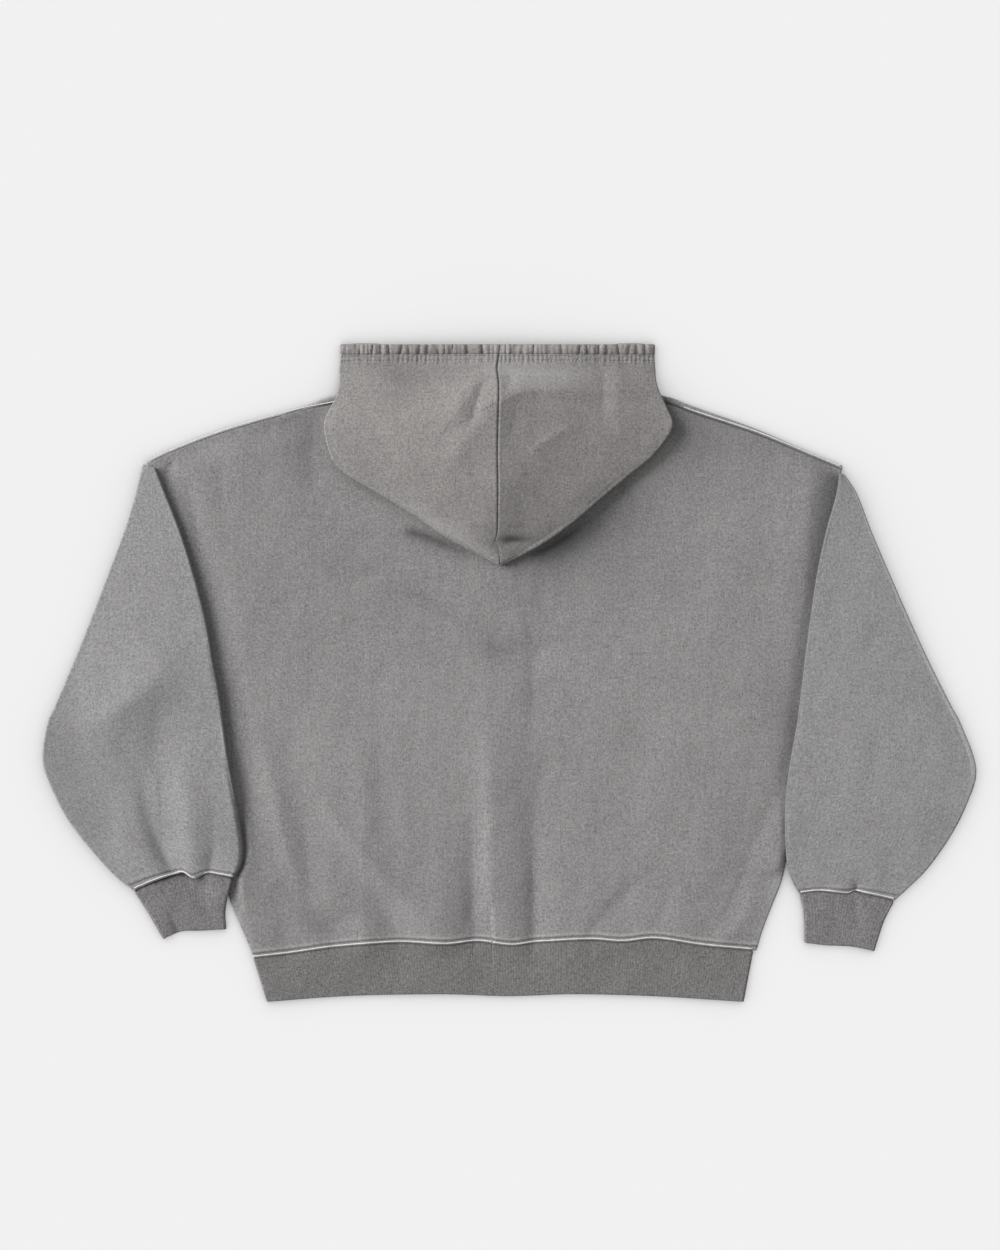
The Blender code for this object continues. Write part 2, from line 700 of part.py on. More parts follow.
def make_zip():
    rows = [ZIP_FOOT, *zip_rows()]
    for which in ("left", "right"):
        out = outward(which)
        near, far = CHAIN_WIDE / 2 + SEAM, CHAIN_WIDE / 2 + SEAM + TAPE_WIDE
        strip = [
            [(out * x, y, TAPE_LEVEL + front_lift(0, y)) for x in (near, 9, far)]
            for y in (*rows, ZIP_HEAD)
        ]
        wall(f"zip_tape_{which}", strip, "zip_tape", TAPE_THICK)
        level = TAPE_LEVEL + SLIDER_LIFT + TAPE_THICK / 2 + SEAM
        near, far = sorted(out * across for across in STOP_ACROSS)
        foot, head = STOP_HEIGHTS
        stop = (near, foot, level), (far, head, level + STOP_THICK)
        block(f"zip_stop_{which}", *stop, "zip_metal")
    half = CHAIN_THICK / 2
    box_top = ZIP_FOOT + 0.5 + BOX_LONG
    box_low = (-BOX_HALF, box_top - BOX_LONG, CHAIN_LEVEL - half)
    block("zip_box", box_low, (BOX_HALF, box_top, CHAIN_LEVEL + half), "zip_metal")
    half = CHAIN_WIDE / 2
    chain = [
        [(x, y, CHAIN_LEVEL + front_lift(0, y)) for x in (-half, half)]
        for y in (box_top + SEAM, *rows[1:-1], HINGE_Y + 1)
    ]
    wall("zip_chain", chain, "zip_metal", CHAIN_THICK)


def make_slider():
    """Two plates round the chain, joined by a post above it, with lips that leave a slit for the
    tapes, and an arch under the lower plate that holds the pull."""
    middle = CHAIN_LEVEL + SLIDER_LIFT
    inside = CHAIN_THICK / 2 + SEAM
    half = SLIDER_WIDE / 2
    foot, head = HINGE_Y - SLIDER_LONG / 2, HINGE_Y + SLIDER_LONG / 2
    under, over = middle - inside - PLATE, middle + inside
    slit = TAPE_LEVEL + SLIDER_LIFT
    slider = block("zip_slider", (-half, foot, under), (half, head, under + PLATE), "zip_metal")
    arch = ARCH_INSIDE / 2
    arch_foot = HINGE_Z - 0.9 - ARCH_BAR
    pieces = {
        "inner_plate": ((-half, foot, over), (half, head, over + PLATE)),
        "post": ((-1.2, head - 4, under + 0.1), (1.2, head - 0.5, over + PLATE - 0.1)),
        "arch_head": (
            (-ARCH_WIDE / 2, HINGE_Y + arch, arch_foot),
            (ARCH_WIDE / 2, HINGE_Y + arch + ARCH_BAR, under + 0.4),
        ),
        "arch_foot": (
            (-ARCH_WIDE / 2, HINGE_Y - arch - ARCH_BAR, arch_foot),
            (ARCH_WIDE / 2, HINGE_Y - arch, under + 0.4),
        ),
        "arch_bar": (
            (-ARCH_WIDE / 2 + 0.05, HINGE_Y - arch - ARCH_BAR / 2, arch_foot + 0.02),
            (ARCH_WIDE / 2 - 0.05, HINGE_Y + arch + ARCH_BAR / 2, arch_foot + ARCH_BAR),
        ),
    }
    for out in (-1, 1):
        low_x, high_x = sorted((out * (half - 0.05), out * (half - 1)))
        pieces[f"lower_lip_{low_x:.0f}"] = (
            (low_x, foot + 0.05, under + 0.1),
            (high_x, head - 0.05, slit - 0.6),
        )
        pieces[f"upper_lip_{low_x:.0f}"] = (
            (low_x, foot + 0.05, slit + 0.6),
            (high_x, head - 0.05, over + PLATE - 0.1),
        )
    for name, (low, high) in pieces.items():
        boolean(slider, block(name, low, high, "zip_metal"), "UNION")
    return slider


def make_pull():
    """The pull tab, flat along the zip, with an eye round the slider's arch."""
    half = PULL_THICK / 2
    top = HINGE_Y + half
    pull = block(
        "zip_pull",
        (-PULL_WIDE / 2, top - PULL_LONG, HINGE_Z - half),
        (PULL_WIDE / 2, top, HINGE_Z + half),
        "zip_metal",
        0.3,
    )
    eye = block(
        "eye",
        (-PULL_EYE / 2, HINGE_Y - half - PULL_EYE_LONG, HINGE_Z - 3),
        (PULL_EYE / 2, HINGE_Y - half, HINGE_Z + 3),
        "zip_metal",
    )
    boolean(pull, eye, "DIFFERENCE")
    hinge = place((0, HINGE_Y, HINGE_Z))
    for vert in pull.data.vertices:
        vert.co -= Vector(hinge)
    pull.location = hinge
    return pull


def main():
    for obj in list(bpy.data.objects):
        bpy.data.objects.remove(obj)
    for collection in (hoodie, cutters):
        bpy.context.scene.collection.children.link(collection)
    make_back()
    for which in ("left", "right"):
        make_front(which)
        make_sleeve(which)
        make_cuff(which)
        make_hood(which)
    make_hem_band()
    make_zip()
    make_slider()
    make_pull()


main()
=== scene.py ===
"""The looks of the zip-up hoodie: fine cloth shells with their creases, seams, stitches and ribs,
the zip's teeth and the finish of every surface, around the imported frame.

Sizes are millimetres in the garment's own frame, as in the frame's source: x from the centre-back
line, y up from the hem, z up from the surface that the garment lies on. place() turns them into
metres about the middle of the outline. Each cloth piece is a grid of points on its middle surface,
which shell() gives its thickness and its rounded edges.
"""

import math

import bpy
import numpy as np
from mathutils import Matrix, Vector


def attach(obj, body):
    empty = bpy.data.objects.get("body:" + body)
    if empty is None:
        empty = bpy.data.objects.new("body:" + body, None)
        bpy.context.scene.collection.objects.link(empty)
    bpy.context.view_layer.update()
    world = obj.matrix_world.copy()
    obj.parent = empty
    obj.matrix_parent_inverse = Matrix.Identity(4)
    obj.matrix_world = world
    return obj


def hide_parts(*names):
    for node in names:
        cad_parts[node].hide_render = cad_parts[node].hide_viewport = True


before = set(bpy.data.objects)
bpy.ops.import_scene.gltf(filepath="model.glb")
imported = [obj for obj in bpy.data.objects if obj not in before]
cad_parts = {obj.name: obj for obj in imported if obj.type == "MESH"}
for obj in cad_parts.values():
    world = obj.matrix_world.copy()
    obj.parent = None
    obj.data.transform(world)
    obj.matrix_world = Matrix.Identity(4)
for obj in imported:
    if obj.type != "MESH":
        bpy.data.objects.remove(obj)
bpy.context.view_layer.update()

# Sizes that the cloth pieces share with the frame
MIDDLE = (11.0, 345.0)  # the middle of the outline
CLOTH = 2.0
RIB = 2.0
NECK_HALF = 105.0
NECK_TOP = 648.0
BACK_NECK_HALF = 114.0
BACK_NECK = 622.0
FRONT_NECK = 560.0
UNDERARM = 312.0
ROLL_AT_NECK = 6.5
ROLL_AT_TIP = 3.4
ZIP_EDGE = 6.0
FLOOR = CLOTH / 2
BACK = FLOOR + 4.0
ON_BACK = BACK + CLOTH + 0.6
SLIDER_LIFT = 3.05
BACK_LIFT = 5.0
LOOSE_LIFT = 3.2  # how far the back lies above the frame's, between the sleeves
HINGE_Y = 545.5
ZIP_FOOT = 9.0
CHAIN_LEVEL = 2.45

SEAM_REACH = 0.15  # how far a cloth's rounded edge reaches past its last points at a seam
EDGE = 0.3  # from a seam's middle to the last points of the cloth beside it
EDGE_ANGLES = (40, 90, 140)  # where the points of a rounded edge lie, in degrees round it
RIB_PITCH = 2.8  # from one rib to the next
BOTH = ("left", "right")


class Table:
    """Rows of sizes with named columns. A column is read as a smooth curve over the first one."""

    def __init__(self, columns, *rows):
        self.columns = columns.split()
        self.rows = rows

    def column(self, name):
        place = self.columns.index(name)
        return np.array([row[place] for row in self.rows], float)

    def at(self, key, name):
        keys, values = self.column(self.columns[0]), self.column(name)
        key = np.clip(key, keys[0], keys[-1])
        i = np.clip(np.searchsorted(keys, key, "right") - 1, 0, len(keys) - 2)
        span = keys[i + 1] - keys[i]
        t = (key - keys[i]) / span
        slope = np.empty_like(values)
        slope[1:-1] = (values[2:] - values[:-2]) / (keys[2:] - keys[:-2])
        slope[0] = (values[1] - values[0]) / (keys[1] - keys[0])
        slope[-1] = (values[-1] - values[-2]) / (keys[-1] - keys[-2])
        a, b = values[i], values[i + 1]
        rise = t * t * (3 - 2 * t)
        start, end = slope[i] * span, slope[i + 1] * span
        return a + (b - a) * rise + start * t * (1 - t) ** 2 - end * t * t * (1 - t)

    def values(self, key):
        """The size in every column at a key."""
        return {name: float(self.at(key, name)) for name in self.columns}

    def named(self):
        return [dict(zip(self.columns, row)) for row in self.rows]


SIDES = Table(
    "height left right",
    (46, -257, 268),
    (76, -269.5, 277),
    (102, -280.5, 287),
    (128, -288, 297),
    (165, -298, 304),
    (212, -310, 312),
    (265, -320, 320),
    (312, -328, 328),
    (380, -341, 339),
    (464, -352, 350),
    (527, -361, 357),
    (568, -370, 361),
)
SHOULDER = Table(
    "across outline",
    (-370, 568),
    (-348, 579),
    (-281, 605),
    (-208, 627.5),
    (-178, 633.5),
    (-105, 648),
    (105, 648),
    (178, 634.5),
    (200, 626),
    (267, 602),
    (324, 577.5),
    (361, 562),
)
HEM_SEAM = Table(
    "across height",
    (-258, 46),
    (-222, 50),
    (-172, 57),
    (-105, 62),
    (-55, 60),
    (-21, 63),
    (13, 59),
    (40, 62),
    (97, 65),
    (130, 63),
    (164, 66),
    (214, 59),
    (267, 54),
)
HEM_EDGE = Table(
    "across height", (-244, 0), (-160, 6), (-59, 8), (10, 6), (75, 8), (160, 6), (257, 0)
)
# Each row of a sleeve runs from its outer fold to its inner one, bowed up by bow between them.
# fold is the radius of both folds. under and lap are 1 where the layer beneath ends on the surface,
# and where the inner fold lies on the body.
SLEEVES = {
    "left": Table(
        "row outer_x outer_y inner_x inner_y bow fold under lap",
        (0, -373.5, 563, -360, 560, 0, 1.4, 0, 1),
        (1, -381, 532, -349, 532, 0, 1.8, 0, 1),
        (2, -392.5, 494, -334, 494, 0, 2.2, 0, 1),
        (3, -409.3, 450, -320, 450, 0, 2.4, 0, 1),
        (4, -428.3, 400, -307, 400, 0, 2.6, 0, 1),
        (5, -447, 354, -299, 354, 0, 3.0, 0, 1),
        (6, -458, 328, -294, 328, 0, 3.4, 0, 1),
        (7, -466, 309, -291, 309, 0, 3.8, 0.3, 1),
        (8, -474, 290, -288.5, 290, 0, 4.2, 0.7, 1),
        (9, -478.6, 255, -283.5, 255, 0, 4.4, 1, 1),
        (10, -469.5, 225, -277.5, 222, 1, 4.4, 1, 1),
        (11, -451, 190, -271.5, 188, 3, 4.2, 1, 1),
        (12, -426, 158, -268, 160, 6, 3.8, 1, 1),
        (13, -402, 132, -270.5, 143, 9, 3.2, 1, 1),
        (14, -383, 117, -277, 131, 10, 2.6, 1, 1),
    ),
    "right": Table(
        "row outer_x outer_y inner_x inner_y bow fold under lap",
        (0, 361.5, 554, 356.5, 553, 0, 1.4, 0, 1),
        (1, 375.5, 532, 353.5, 532, 0, 1.8, 0, 1),
        (2, 390.2, 494, 343, 494, 0, 2.2, 0, 1),
        (3, 409, 450, 333.5, 450, 0, 2.4, 0, 1),
        (4, 431, 400, 326, 400, 0, 2.6, 0, 1),
        (5, 452.4, 354, 320, 354, 0, 2.8, 0, 1),
        (6, 465.4, 328, 317, 328, 0, 3.0, 0, 1),
        (7, 475, 309, 314.5, 309, 0, 3.2, 0.3, 1),
        (8, 485, 290, 312, 290, 0, 3.4, 0.7, 1),
        (9, 500.6, 244, 304, 244, 0, 3.4, 1, 1),
        (10, 490, 206, 300, 206, 0, 3.4, 1, 1),
        (11, 472.4, 172, 300, 172, 0, 3.0, 1, 1),
        (12, 449.4, 140, 302.5, 142, 2, 3.0, 1, 0.75),
        (13, 429.4, 120, 309, 124, 4, 2.8, 1, 0.35),
        (14, 415, 107, 315, 114, 5, 2.6, 1, 0),
    ),
}
# How far a cuff's seam strays from its sleeve's last row, by the share of the way across it
CUFF_SEAM = {
    "left": Table(
        "share stray",
        (0, 0),
        (0.2, 1.0),
        (0.4, 1.5),
        (0.5, 2.0),
        (0.6, -5.0),
        (0.68, -1.5),
        (0.74, 0.8),
        (0.86, 0.5),
        (1, 0),
    ),
    "right": Table("share stray", (0, 0), (0.3, 0.8), (0.42, 1.6), (0.5, -1.6), (0.8, 1.0), (1, 0)),
}
# The same for a cuff's free edge, which is turned up at a fold
CUFF_END = {
    "left": Table(
        "share stray", (0, 0), (0.1, 1.6), (0.24, 4.2), (0.36, 4.5), (0.52, 2.9), (0.7, 1.6), (1, 0)
    ),
    "right": Table("share stray", (0, 0), (0.3, 1.6), (0.5, 0.8), (0.7, -0.4), (1, 0)),
}
CUFFS = {
    "left": Table(
        "row outer_x outer_y inner_x inner_y bow lift",
        (0, -383, 116.4, -279, 130.4, 10, 7),
        (1, -370.5, 97, -284, 112, 7, 6.6),
        (2, -361.6, 82, -287, 94, 4, 0),
        (3, -353, 67, -286, 77, 1, 0),
    ),
    "right": Table(
        "row outer_x outer_y inner_x inner_y bow lift",
        (0, 415, 106.4, 315, 113.4, 5, 0),
        (1, 405, 87, 319, 95, 4, 0),
        (2, 399, 70, 320, 79, 3, 0),
        (3, 394, 54, 320, 63, 1, 0),
    ),
}
HOOD = Table(
    "line neck_x neck_y neck_z middle_x middle_y middle_z left_x left_y right_x right_y outline_z"
    " fold crown_y crown_z",
    (0, 0, 621, 7.6, 0, 540, 7.8, 1, 457.6, 1, 457.6, 7.8, 4.0, 479, 21),
    (1, 18, 622, 7.6, 24, 545, 7.8, -24, 470.2, 24, 468.2, 7.8, 4.4, 492, 26),
    (2, 36, 623, 7.6, 46, 555, 7.8, -52, 485, 50, 483, 7.8, 4.8, 508, 31),
    (3, 54, 624, 7.6, 70, 568, 7.8, -89, 510, 79, 504, 7.8, 5.0, 526, 35),
    (4, 70, 627, 7.6, 94, 584, 7.8, -126, 533, 108, 529, 7.8, 5.0, 545, 38),
    (5, 81, 628, 7.6, 116, 602, 7.8, -158, 552, 137, 553, 7.8, 5.0, 565, 39),
    (6, 91, 630, 7.6, 132, 618, 7.8, -175, 570, 161, 573, 7.8, 5.0, 585, 38.5),
    (7, 98, 632, 7.6, 140, 630, 7.8, -183, 602, 181, 601, 7.8, 5.0, 604, 37),
    (8, 104, 638, 7.6, 140, 643, 7.8, -178, 619, 176, 621, 7.8, 4.6, 622, 34.5),
    (9, 101, 647, 4.5, 126, 656, 7.0, -170, 635, 169, 637, 7.6, 4.2, 637, 31.5),
    (10, 101, 631, 1.8, 101, 662, 3.2, -167.5, 650, 165, 650, 3.4, 4.0, 650, 26.5),
    (11, 69.8, 581.6, 1.0, 90, 662, 1.2, -167.5, 663, 164, 663, 1.2, 3.2, 664, 19.5),
    (12, 18, 561.6, 1.8, 68, 654, 1.8, -166, 678, 163, 678, 1.8, 2.6, 678, 13.5),
    (13, 6.5, 561, 1.8, 58, 664, 1.8, -166, 688.4, 163, 688.4, 1.8, 2.4, 688, 10),
)
# The hood's centre seam wanders, and steps aside near the tip
CROWN_LINE = Table(
    "height across",
    (459, 2.5),
    (468, 1.2),
    (476, 0.6),
    (481, -1.5),
    (485, -4.4),
    (491, -2.2),
    (500, -1.5),
    (540, -1.0),
    (580, -1.5),
    (620, -0.6),
    (640, 0),
    (652, -0.6),
    (664, -2),
    (672, -1),
    (680, 0.4),
    (690, 1.4),
)

# Soft folds, each along a line bent at its middle, with a height (a depth if below 0), a width on
# its two sides, left and right of the way from start to end, and how round its crest is.
FOLD = "start_x start_y bend_x bend_y end_x end_y height left right round"
# Broad swells of the back, which lift the hood with them
SWELLS = Table(
    FOLD,
    (60, 500, 105, 545, 150, 590, 2.0, 26, 22, 20),
    (-190, 420, -20, 440, 170, 430, 1.2, 60, 50, 40),
    (-110, 270, -10, 300, 110, 260, 1.2, 60, 60, 40),
)
BACK_FOLDS = Table(
    FOLD,
    # from the hem up: the two deep folds at the middle and what lies beside them
    (-6, 112, -7, 216, -12, 380, 4.4, 12, 60, 5),
    (36, 40, 37, 95, 37, 215, -5.2, 13, 20, 3),
    (34, 150, 40, 212, 54, 290, -2.2, 16, 24, 5),
    (62, 56, 60, 120, 55, 215, 0.8, 11, 24, 6),
    (-26, 40, -27, 80, -28, 140, -3.4, 12, 34, 3),
    (-27, 92, -27, 140, -29, 238, -3.0, 10, 18, 3),
    (-58, 56, -60, 120, -62, 190, 1.2, 16, 10, 6),
    # towards the left side
    (-60, 56, -124, 138, -204, 228, 2.3, 13, 26, 4),
    (-114, 122, -160, 176, -202, 236, 2.4, 10, 18, 3),
    (-104, 46, -114, 90, -150, 134, -2.7, 16, 24, 3),
    (-139, 46, -142, 74, -148, 98, 1.8, 8, 18, 3),
    (-172, 46, -176, 76, -188, 106, -2.8, 16, 38, 4),
    (-219, 148, -231, 206, -252, 310, 3.2, 9, 14, 4),
    (-196, 96, -204, 170, -216, 250, -1.2, 9, 12, 4),
    (-222, 50, -226, 84, -238, 128, -1.9, 15, 34, 5),
    (-138, 176, -144, 232, -149, 306, 1.8, 12, 14, 6),
    (-120, 186, -122, 226, -128, 284, -0.8, 12, 12, 5),
    (-92, 150, -98, 196, -104, 246, 1.3, 11, 14, 6),
    (-266, 208, -269, 234, -273, 266, -2.6, 8, 7, 3),
    (-269, 112, -268, 150, -266, 216, 6.0, 5, 27, 2.5),
    # towards the right side
    (74, 56, 82, 110, 88, 178, -0.8, 13, 13, 6),
    (94, 68, 120, 102, 176, 150, -1.8, 7, 18, 2),
    (156, 60, 170, 94, 192, 120, -0.8, 7, 9, 2.5),
    (236, 50, 262, 106, 284, 182, 0.6, 12, 10, 5),
    (260, 146, 283, 198, 305, 262, -2.0, 11, 36, 4),
    (222, 56, 252, 82, 278, 124, 0.9, 8, 7, 2.5),
    # the smile below the hood, and small creases round it
    (17, 373, -44, 405, -106, 443, -3.8, 9, 14, 3),
    (-6, 371, 28, 366, 84, 388, -3.4, 8, 18, 2.5),
    (33, 372, 37, 328, 32, 262, -2.4, 28, 10, 3),
    (6, 352, 28, 349, 54, 360, -0.8, 6, 8, 2),
    (42, 421, 57, 410, 74, 401, -1.4, 6, 8, 2),
    (-172, 453, -150, 443, -112, 452, -1.6, 7, 8, 2),
    # the shoulders and the armholes
    (-315, 474, -321, 515, -331, 562, -1.6, 6, 6, 2),
    (-322, 474, -329, 515, -339, 562, 1.0, 6, 4, 2),
    (-290, 522, -291, 548, -290, 572, -1.1, 6, 6, 2),
    (-350, 544, -347, 558, -342, 572, -2.4, 4, 4, 1),
    (-192, 548, -197, 585, -190, 618, -2.8, 15, 12, 4),
    (190, 492, 200, 496, 212, 494, -0.8, 5, 5, 2),
    (-310, 470, -250, 440, -190, 380, 0.9, 22, 24, 12),
    (200, 520, 240, 470, 262, 400, 0.8, 24, 22, 12),
    (120, 330, 170, 300, 220, 250, 0.7, 24, 22, 12),
)
# How the back falls to the fold of the right sleeve beside it: over what width, and how far
FALL = Table(
    "height wide drop",
    (60, 60, 0),
    (128, 30, 0),
    (142, 5, 2.4),
    (185, 5, 2.4),
    (212, 10, 2.6),
    (240, 15, 3.4),
    (262, 16, 4.2),
    (296, 17, 4.8),
    (318, 16, 3.4),
    (345, 15, 4.0),
    (370, 14, 3.6),
    (410, 12, 3.6),
    (450, 14, 5.0),
    (485, 20, 7.2),
    (525, 27, 9.4),
    (555, 26, 9.4),
    (572, 22, 7.0),
)
# Painted shade on the back: darker where the shadows of the hood and the sleeves fall and in its
# creases, and where below 0 painted light that makes it paler
PAINTED_SHADE = Table(
    FOLD,
    (-93, 493, -62, 482, -14, 459, 0.95, 4, 5, 2),
    (52, 464, 92, 490, 134, 530, 0.5, 8, 8, 4),
    (38, 469, 64, 483, 100, 508, 0.8, 4, 5, 2),
    (24, 440, 104, 476, 180, 548, 0.22, 14, 24, 12),
    (144, 540, 176, 578, 192, 614, -0.32, 8, 10, 5),
    (299, 136, 299, 168, 298, 206, 0.7, 2.5, 2.5, 1),
    (-174, 562, -140, 537, -96, 512, 0.3, 1.2, 2.0, 1),
    (-240, 622, -190, 570, -150, 500, 0.13, 30, 30, 30),
    (-206, 606, -193, 590, -188, 560, 0.2, 12, 12, 8),
    (-180, 622, -215, 611, -280, 590, 0.14, 8, 8, 5),
    (110, 470, 190, 470, 280, 440, 0.04, 40, 40, 30),
    (190, 640, 230, 560, 250, 500, 0.15, 34, 34, 30),
    (206, 612, 262, 588, 350, 548, 0.13, 20, 20, 16),
    (300, 600, 322, 570, 330, 540, 0.10, 24, 24, 16),
    (-200, 470, -120, 440, -40, 400, 0.09, 26, 26, 26),
    (-70, 230, -72, 300, -60, 360, -0.03, 30, 30, 26),
    (-206, 240, -204, 290, -206, 340, -0.06, 16, 16, 12),
    (-70, 420, -50, 396, -24, 380, -0.06, 14, 14, 10),
    (304, 350, 292, 320, 284, 276, 0.14, 16, 14, 9),
    (-232, 56, -234, 92, -246, 136, 0.09, 11, 11, 7),
    (-206, 86, -188, 80, -160, 74, 0.24, 8, 8, 5),
    (-128, 62, -130, 84, -142, 122, 0.24, 9, 9, 5),
    (96, 72, 120, 103, 170, 146, 0.12, 4, 5, 2),
    (-37, 58, -37, 105, -36, 180, 0.16, 6, 6, 3),
    (29, 58, 29, 105, 30, 180, 0.14, 7, 7, 4),
    (14, 374, -44, 406, -106, 445, 0.09, 7, 8, 5),
    (-4, 370, 28, 366, 84, 388, 0.13, 5, 7, 3),
    (37, 366, 38, 328, 32, 262, 0.1, 8, 8, 5),
    (240, 60, 252, 69, 268, 84, 0.1, 5, 6, 3),
    (331, 556, 316, 440, 303, 318, 0.2, 8, 4, 3),
    (301, 326, 290, 268, 284, 196, 0.2, 8, 6, 4),
    (26, 160, 28, 220, 34, 290, 0.06, 12, 12, 8),
)
HOOD_FOLDS = Table(
    FOLD,
    # left half
    (-47, 614, -26, 646, -6, 670, 2.6, 16, 9, 4),
    (-27, 610, -21, 634, -12, 656, -2.4, 5, 6, 2),
    (-50, 566, -22, 604, 0, 638, 2.8, 13, 14, 4),
    (-3, 472, -60, 511, -122, 558, 1.9, 8, 9, 3),
    (-3, 479, -20, 486, -44, 495, 0.9, 4, 4, 1),
    (-128, 650, -90, 655, -52, 661, -1.3, 12, 14, 6),
    # right half
    (10, 483, 24, 483, 50, 481, -2.4, 4, 4, 1.5),
    (2, 630, 45, 642, 98, 630, 4.2, 20, 9, 3),
    (7, 640, 12, 652, 10, 666, -1.6, 6, 7, 2),
    (14, 597, 17, 610, 18, 624, -1.5, 9, 8, 2),
    (37, 578, 60, 594, 96, 609, 1.8, 6, 8, 2),
    (108, 620, 109, 642, 108, 668, -1.3, 7, 7, 2),
    (123, 618, 124, 648, 123, 690, 2.0, 10, 14, 4),
    (22, 492, 24, 520, 20, 552, -1.5, 14, 16, 6),
    (110, 560, 70, 520, 36, 494, 0.9, 12, 14, 6),
)
# Painted shade on the hood: darker along its shaded edge, in its creases and on its casing
HOOD_PAINTED_SHADE = Table(
    FOLD,
    (6, 478, 44, 510, 96, 548, 0.16, 22, 22, 14),
    (4, 463, 36, 481, 96, 518, 0.3, 5, 4, 3),
    (-12, 682.5, -66, 682.5, -150, 683, 0.38, 3, 3, 3),
    (-164, 682, -140, 682, -122, 683, 0.12, 3, 3, 1),
    (170, 683, 100, 682.5, -40, 682.5, 0.2, 3, 3, 2),
    (14, 606, 58, 619, 106, 608, 0.13, 13, 13, 8),
    (146, 604, 149, 630, 149, 664, 0.08, 14, 14, 10),
    (10, 500, 50, 520, 110, 566, 0.05, 20, 20, 16),
    (6, 560, 20, 590, 30, 620, 0.06, 16, 16, 10),
    (-114, 664, -80, 655, -4, 678, 0.32, 12, 12, 8),
    (-112, 650, -104, 630, -100, 612, 0.1, 10, 10, 8),
    (-150, 600, -146, 640, -146, 672, -0.03, 12, 12, 9),
    # and painted light, where it is made paler
    (0, 664, 50, 656, 130, 652, -0.17, 11, 11, 8),
    (-62, 600, -46, 640, -8, 684, -0.03, 11, 11, 8),
    (-2, 465, -56, 496, -124, 538, -0.15, 4, 5, 3),
    (2, 480, 60, 520, 140, 566, -0.02, 14, 14, 6),
)
# Painted shade on the sleeves' tops, and where below 0 painted light
SLEEVE_PAINTED_SHADE = {
    "left": Table(
        FOLD,
        (-474, 296, -456, 226, -404, 136, 0.2, 18, 18, 12),
        (-446, 270, -412, 268, -372, 290, 0.08, 16, 16, 12),
        (-366, 176, -380, 206, -384, 262, 0.2, 12, 10, 7),
        (-346, 132, -358, 154, -374, 184, 0.2, 6, 6, 4),
        (-420, 322, -400, 334, -370, 352, -0.04, 15, 15, 12),
        (-340, 150, -341, 196, -342, 262, -0.05, 8, 8, 6),
        (-356, 312, -354, 280, -352, 244, 0.12, 14, 12, 8),
        (-392, 150, -400, 190, -403, 230, -0.1, 10, 10, 6),
    ),
    "right": Table(FOLD, (318, 500, 340, 420, 330, 330, 0.02, 12, 12, 12)),
}
SLEEVE_FOLDS = {
    "left": Table(
        FOLD,
        (-354, 343, -396, 309, -444, 282, 5.2, 20, 24, 8),
        (-357, 250, -357, 294, -353, 332, -3.0, 16, 36, 5),
        (-342, 118, -374, 182, -386, 254, 2.6, 18, 13, 3),
        (-324, 110, -349, 150, -364, 192, -4.0, 12, 10, 2),
        (-359, 168, -369, 212, -372, 262, -1.8, 13, 14, 4),
        (-316, 104, -321, 182, -328, 284, 6.0, 17, 38, 6),
        (-305, 112, -303, 138, -297, 172, -3.2, 8, 9, 2),
        (-301, 150, -298, 188, -294, 236, -1.2, 9, 9, 3),
        (-331, 128, -327, 131, -321, 132, 1.4, 7, 7, 3),
        (-278, 122, -275, 190, -284, 262, 1.4, 13, 5, 3),
        (-416, 150, -420, 172, -424, 194, -1.2, 6, 6, 2),
        (-350, 340, -384, 385, -400, 432, 1.0, 20, 18, 10),
    ),
    "right": Table(
        FOLD,
        (373, 102, 374, 113, 377, 132, -4.2, 4, 3.5, 1),
        (346, 116, 358, 118, 372, 117, 1.4, 4, 3, 2),
        (388, 376, 398, 388, 404, 402, -0.7, 9, 9, 4),
        (390, 250, 396, 272, 400, 292, -0.7, 9, 9, 4),
        (332, 112, 334, 132, 330, 152, 0.8, 9, 9, 4),
        (394, 108, 398, 130, 410, 152, 0.9, 9, 9, 4),
        (400, 310, 372, 360, 352, 420, 0.6, 22, 22, 12),
        (480, 250, 440, 262, 400, 290, 0.6, 20, 20, 10),
    ),
}
CUFF_FOLDS = {
    "left": Table(
        FOLD,
        (-333, 58, -338, 76, -350, 98, -2.6, 5, 5, 1.2),
        (-343, 76, -352, 96, -362, 112, 1.0, 8, 6, 4),
        (-306, 96, -308, 112, -305, 134, -1.0, 7, 7, 3),
        (-325, 96, -326, 112, -326, 132, 0.8, 8, 8, 4),
    ),
    "right": Table(
        FOLD,
        (375, 84, 374, 100, 373, 118, -0.8, 5, 5, 2),
        (342, 66, 341, 88, 340, 112, 0.5, 9, 9, 4),
        (388, 62, 392, 84, 395, 106, 0.5, 7, 7, 4),
    ),
}
# Folds of the hidden fronts, which may only rise off the surface
FRONT_FOLDS = Table(
    FOLD,
    (-230, 80, -215, 190, -225, 300, 1.5, 10, 12, 5),
    (-150, 74, -160, 170, -190, 260, 1.2, 9, 10, 4),
    (-70, 70, -75, 200, -66, 330, 1.4, 9, 12, 4),
    (60, 70, 66, 190, 58, 280, 1.3, 9, 12, 4),
    (150, 74, 170, 180, 205, 260, 1.4, 11, 9, 4),
    (230, 76, 240, 170, 236, 260, 1.1, 9, 9, 4),
    (-200, 480, -150, 450, -90, 460, 1.0, 16, 16, 8),
    (90, 470, 150, 455, 210, 490, 1.0, 16, 16, 8),
)
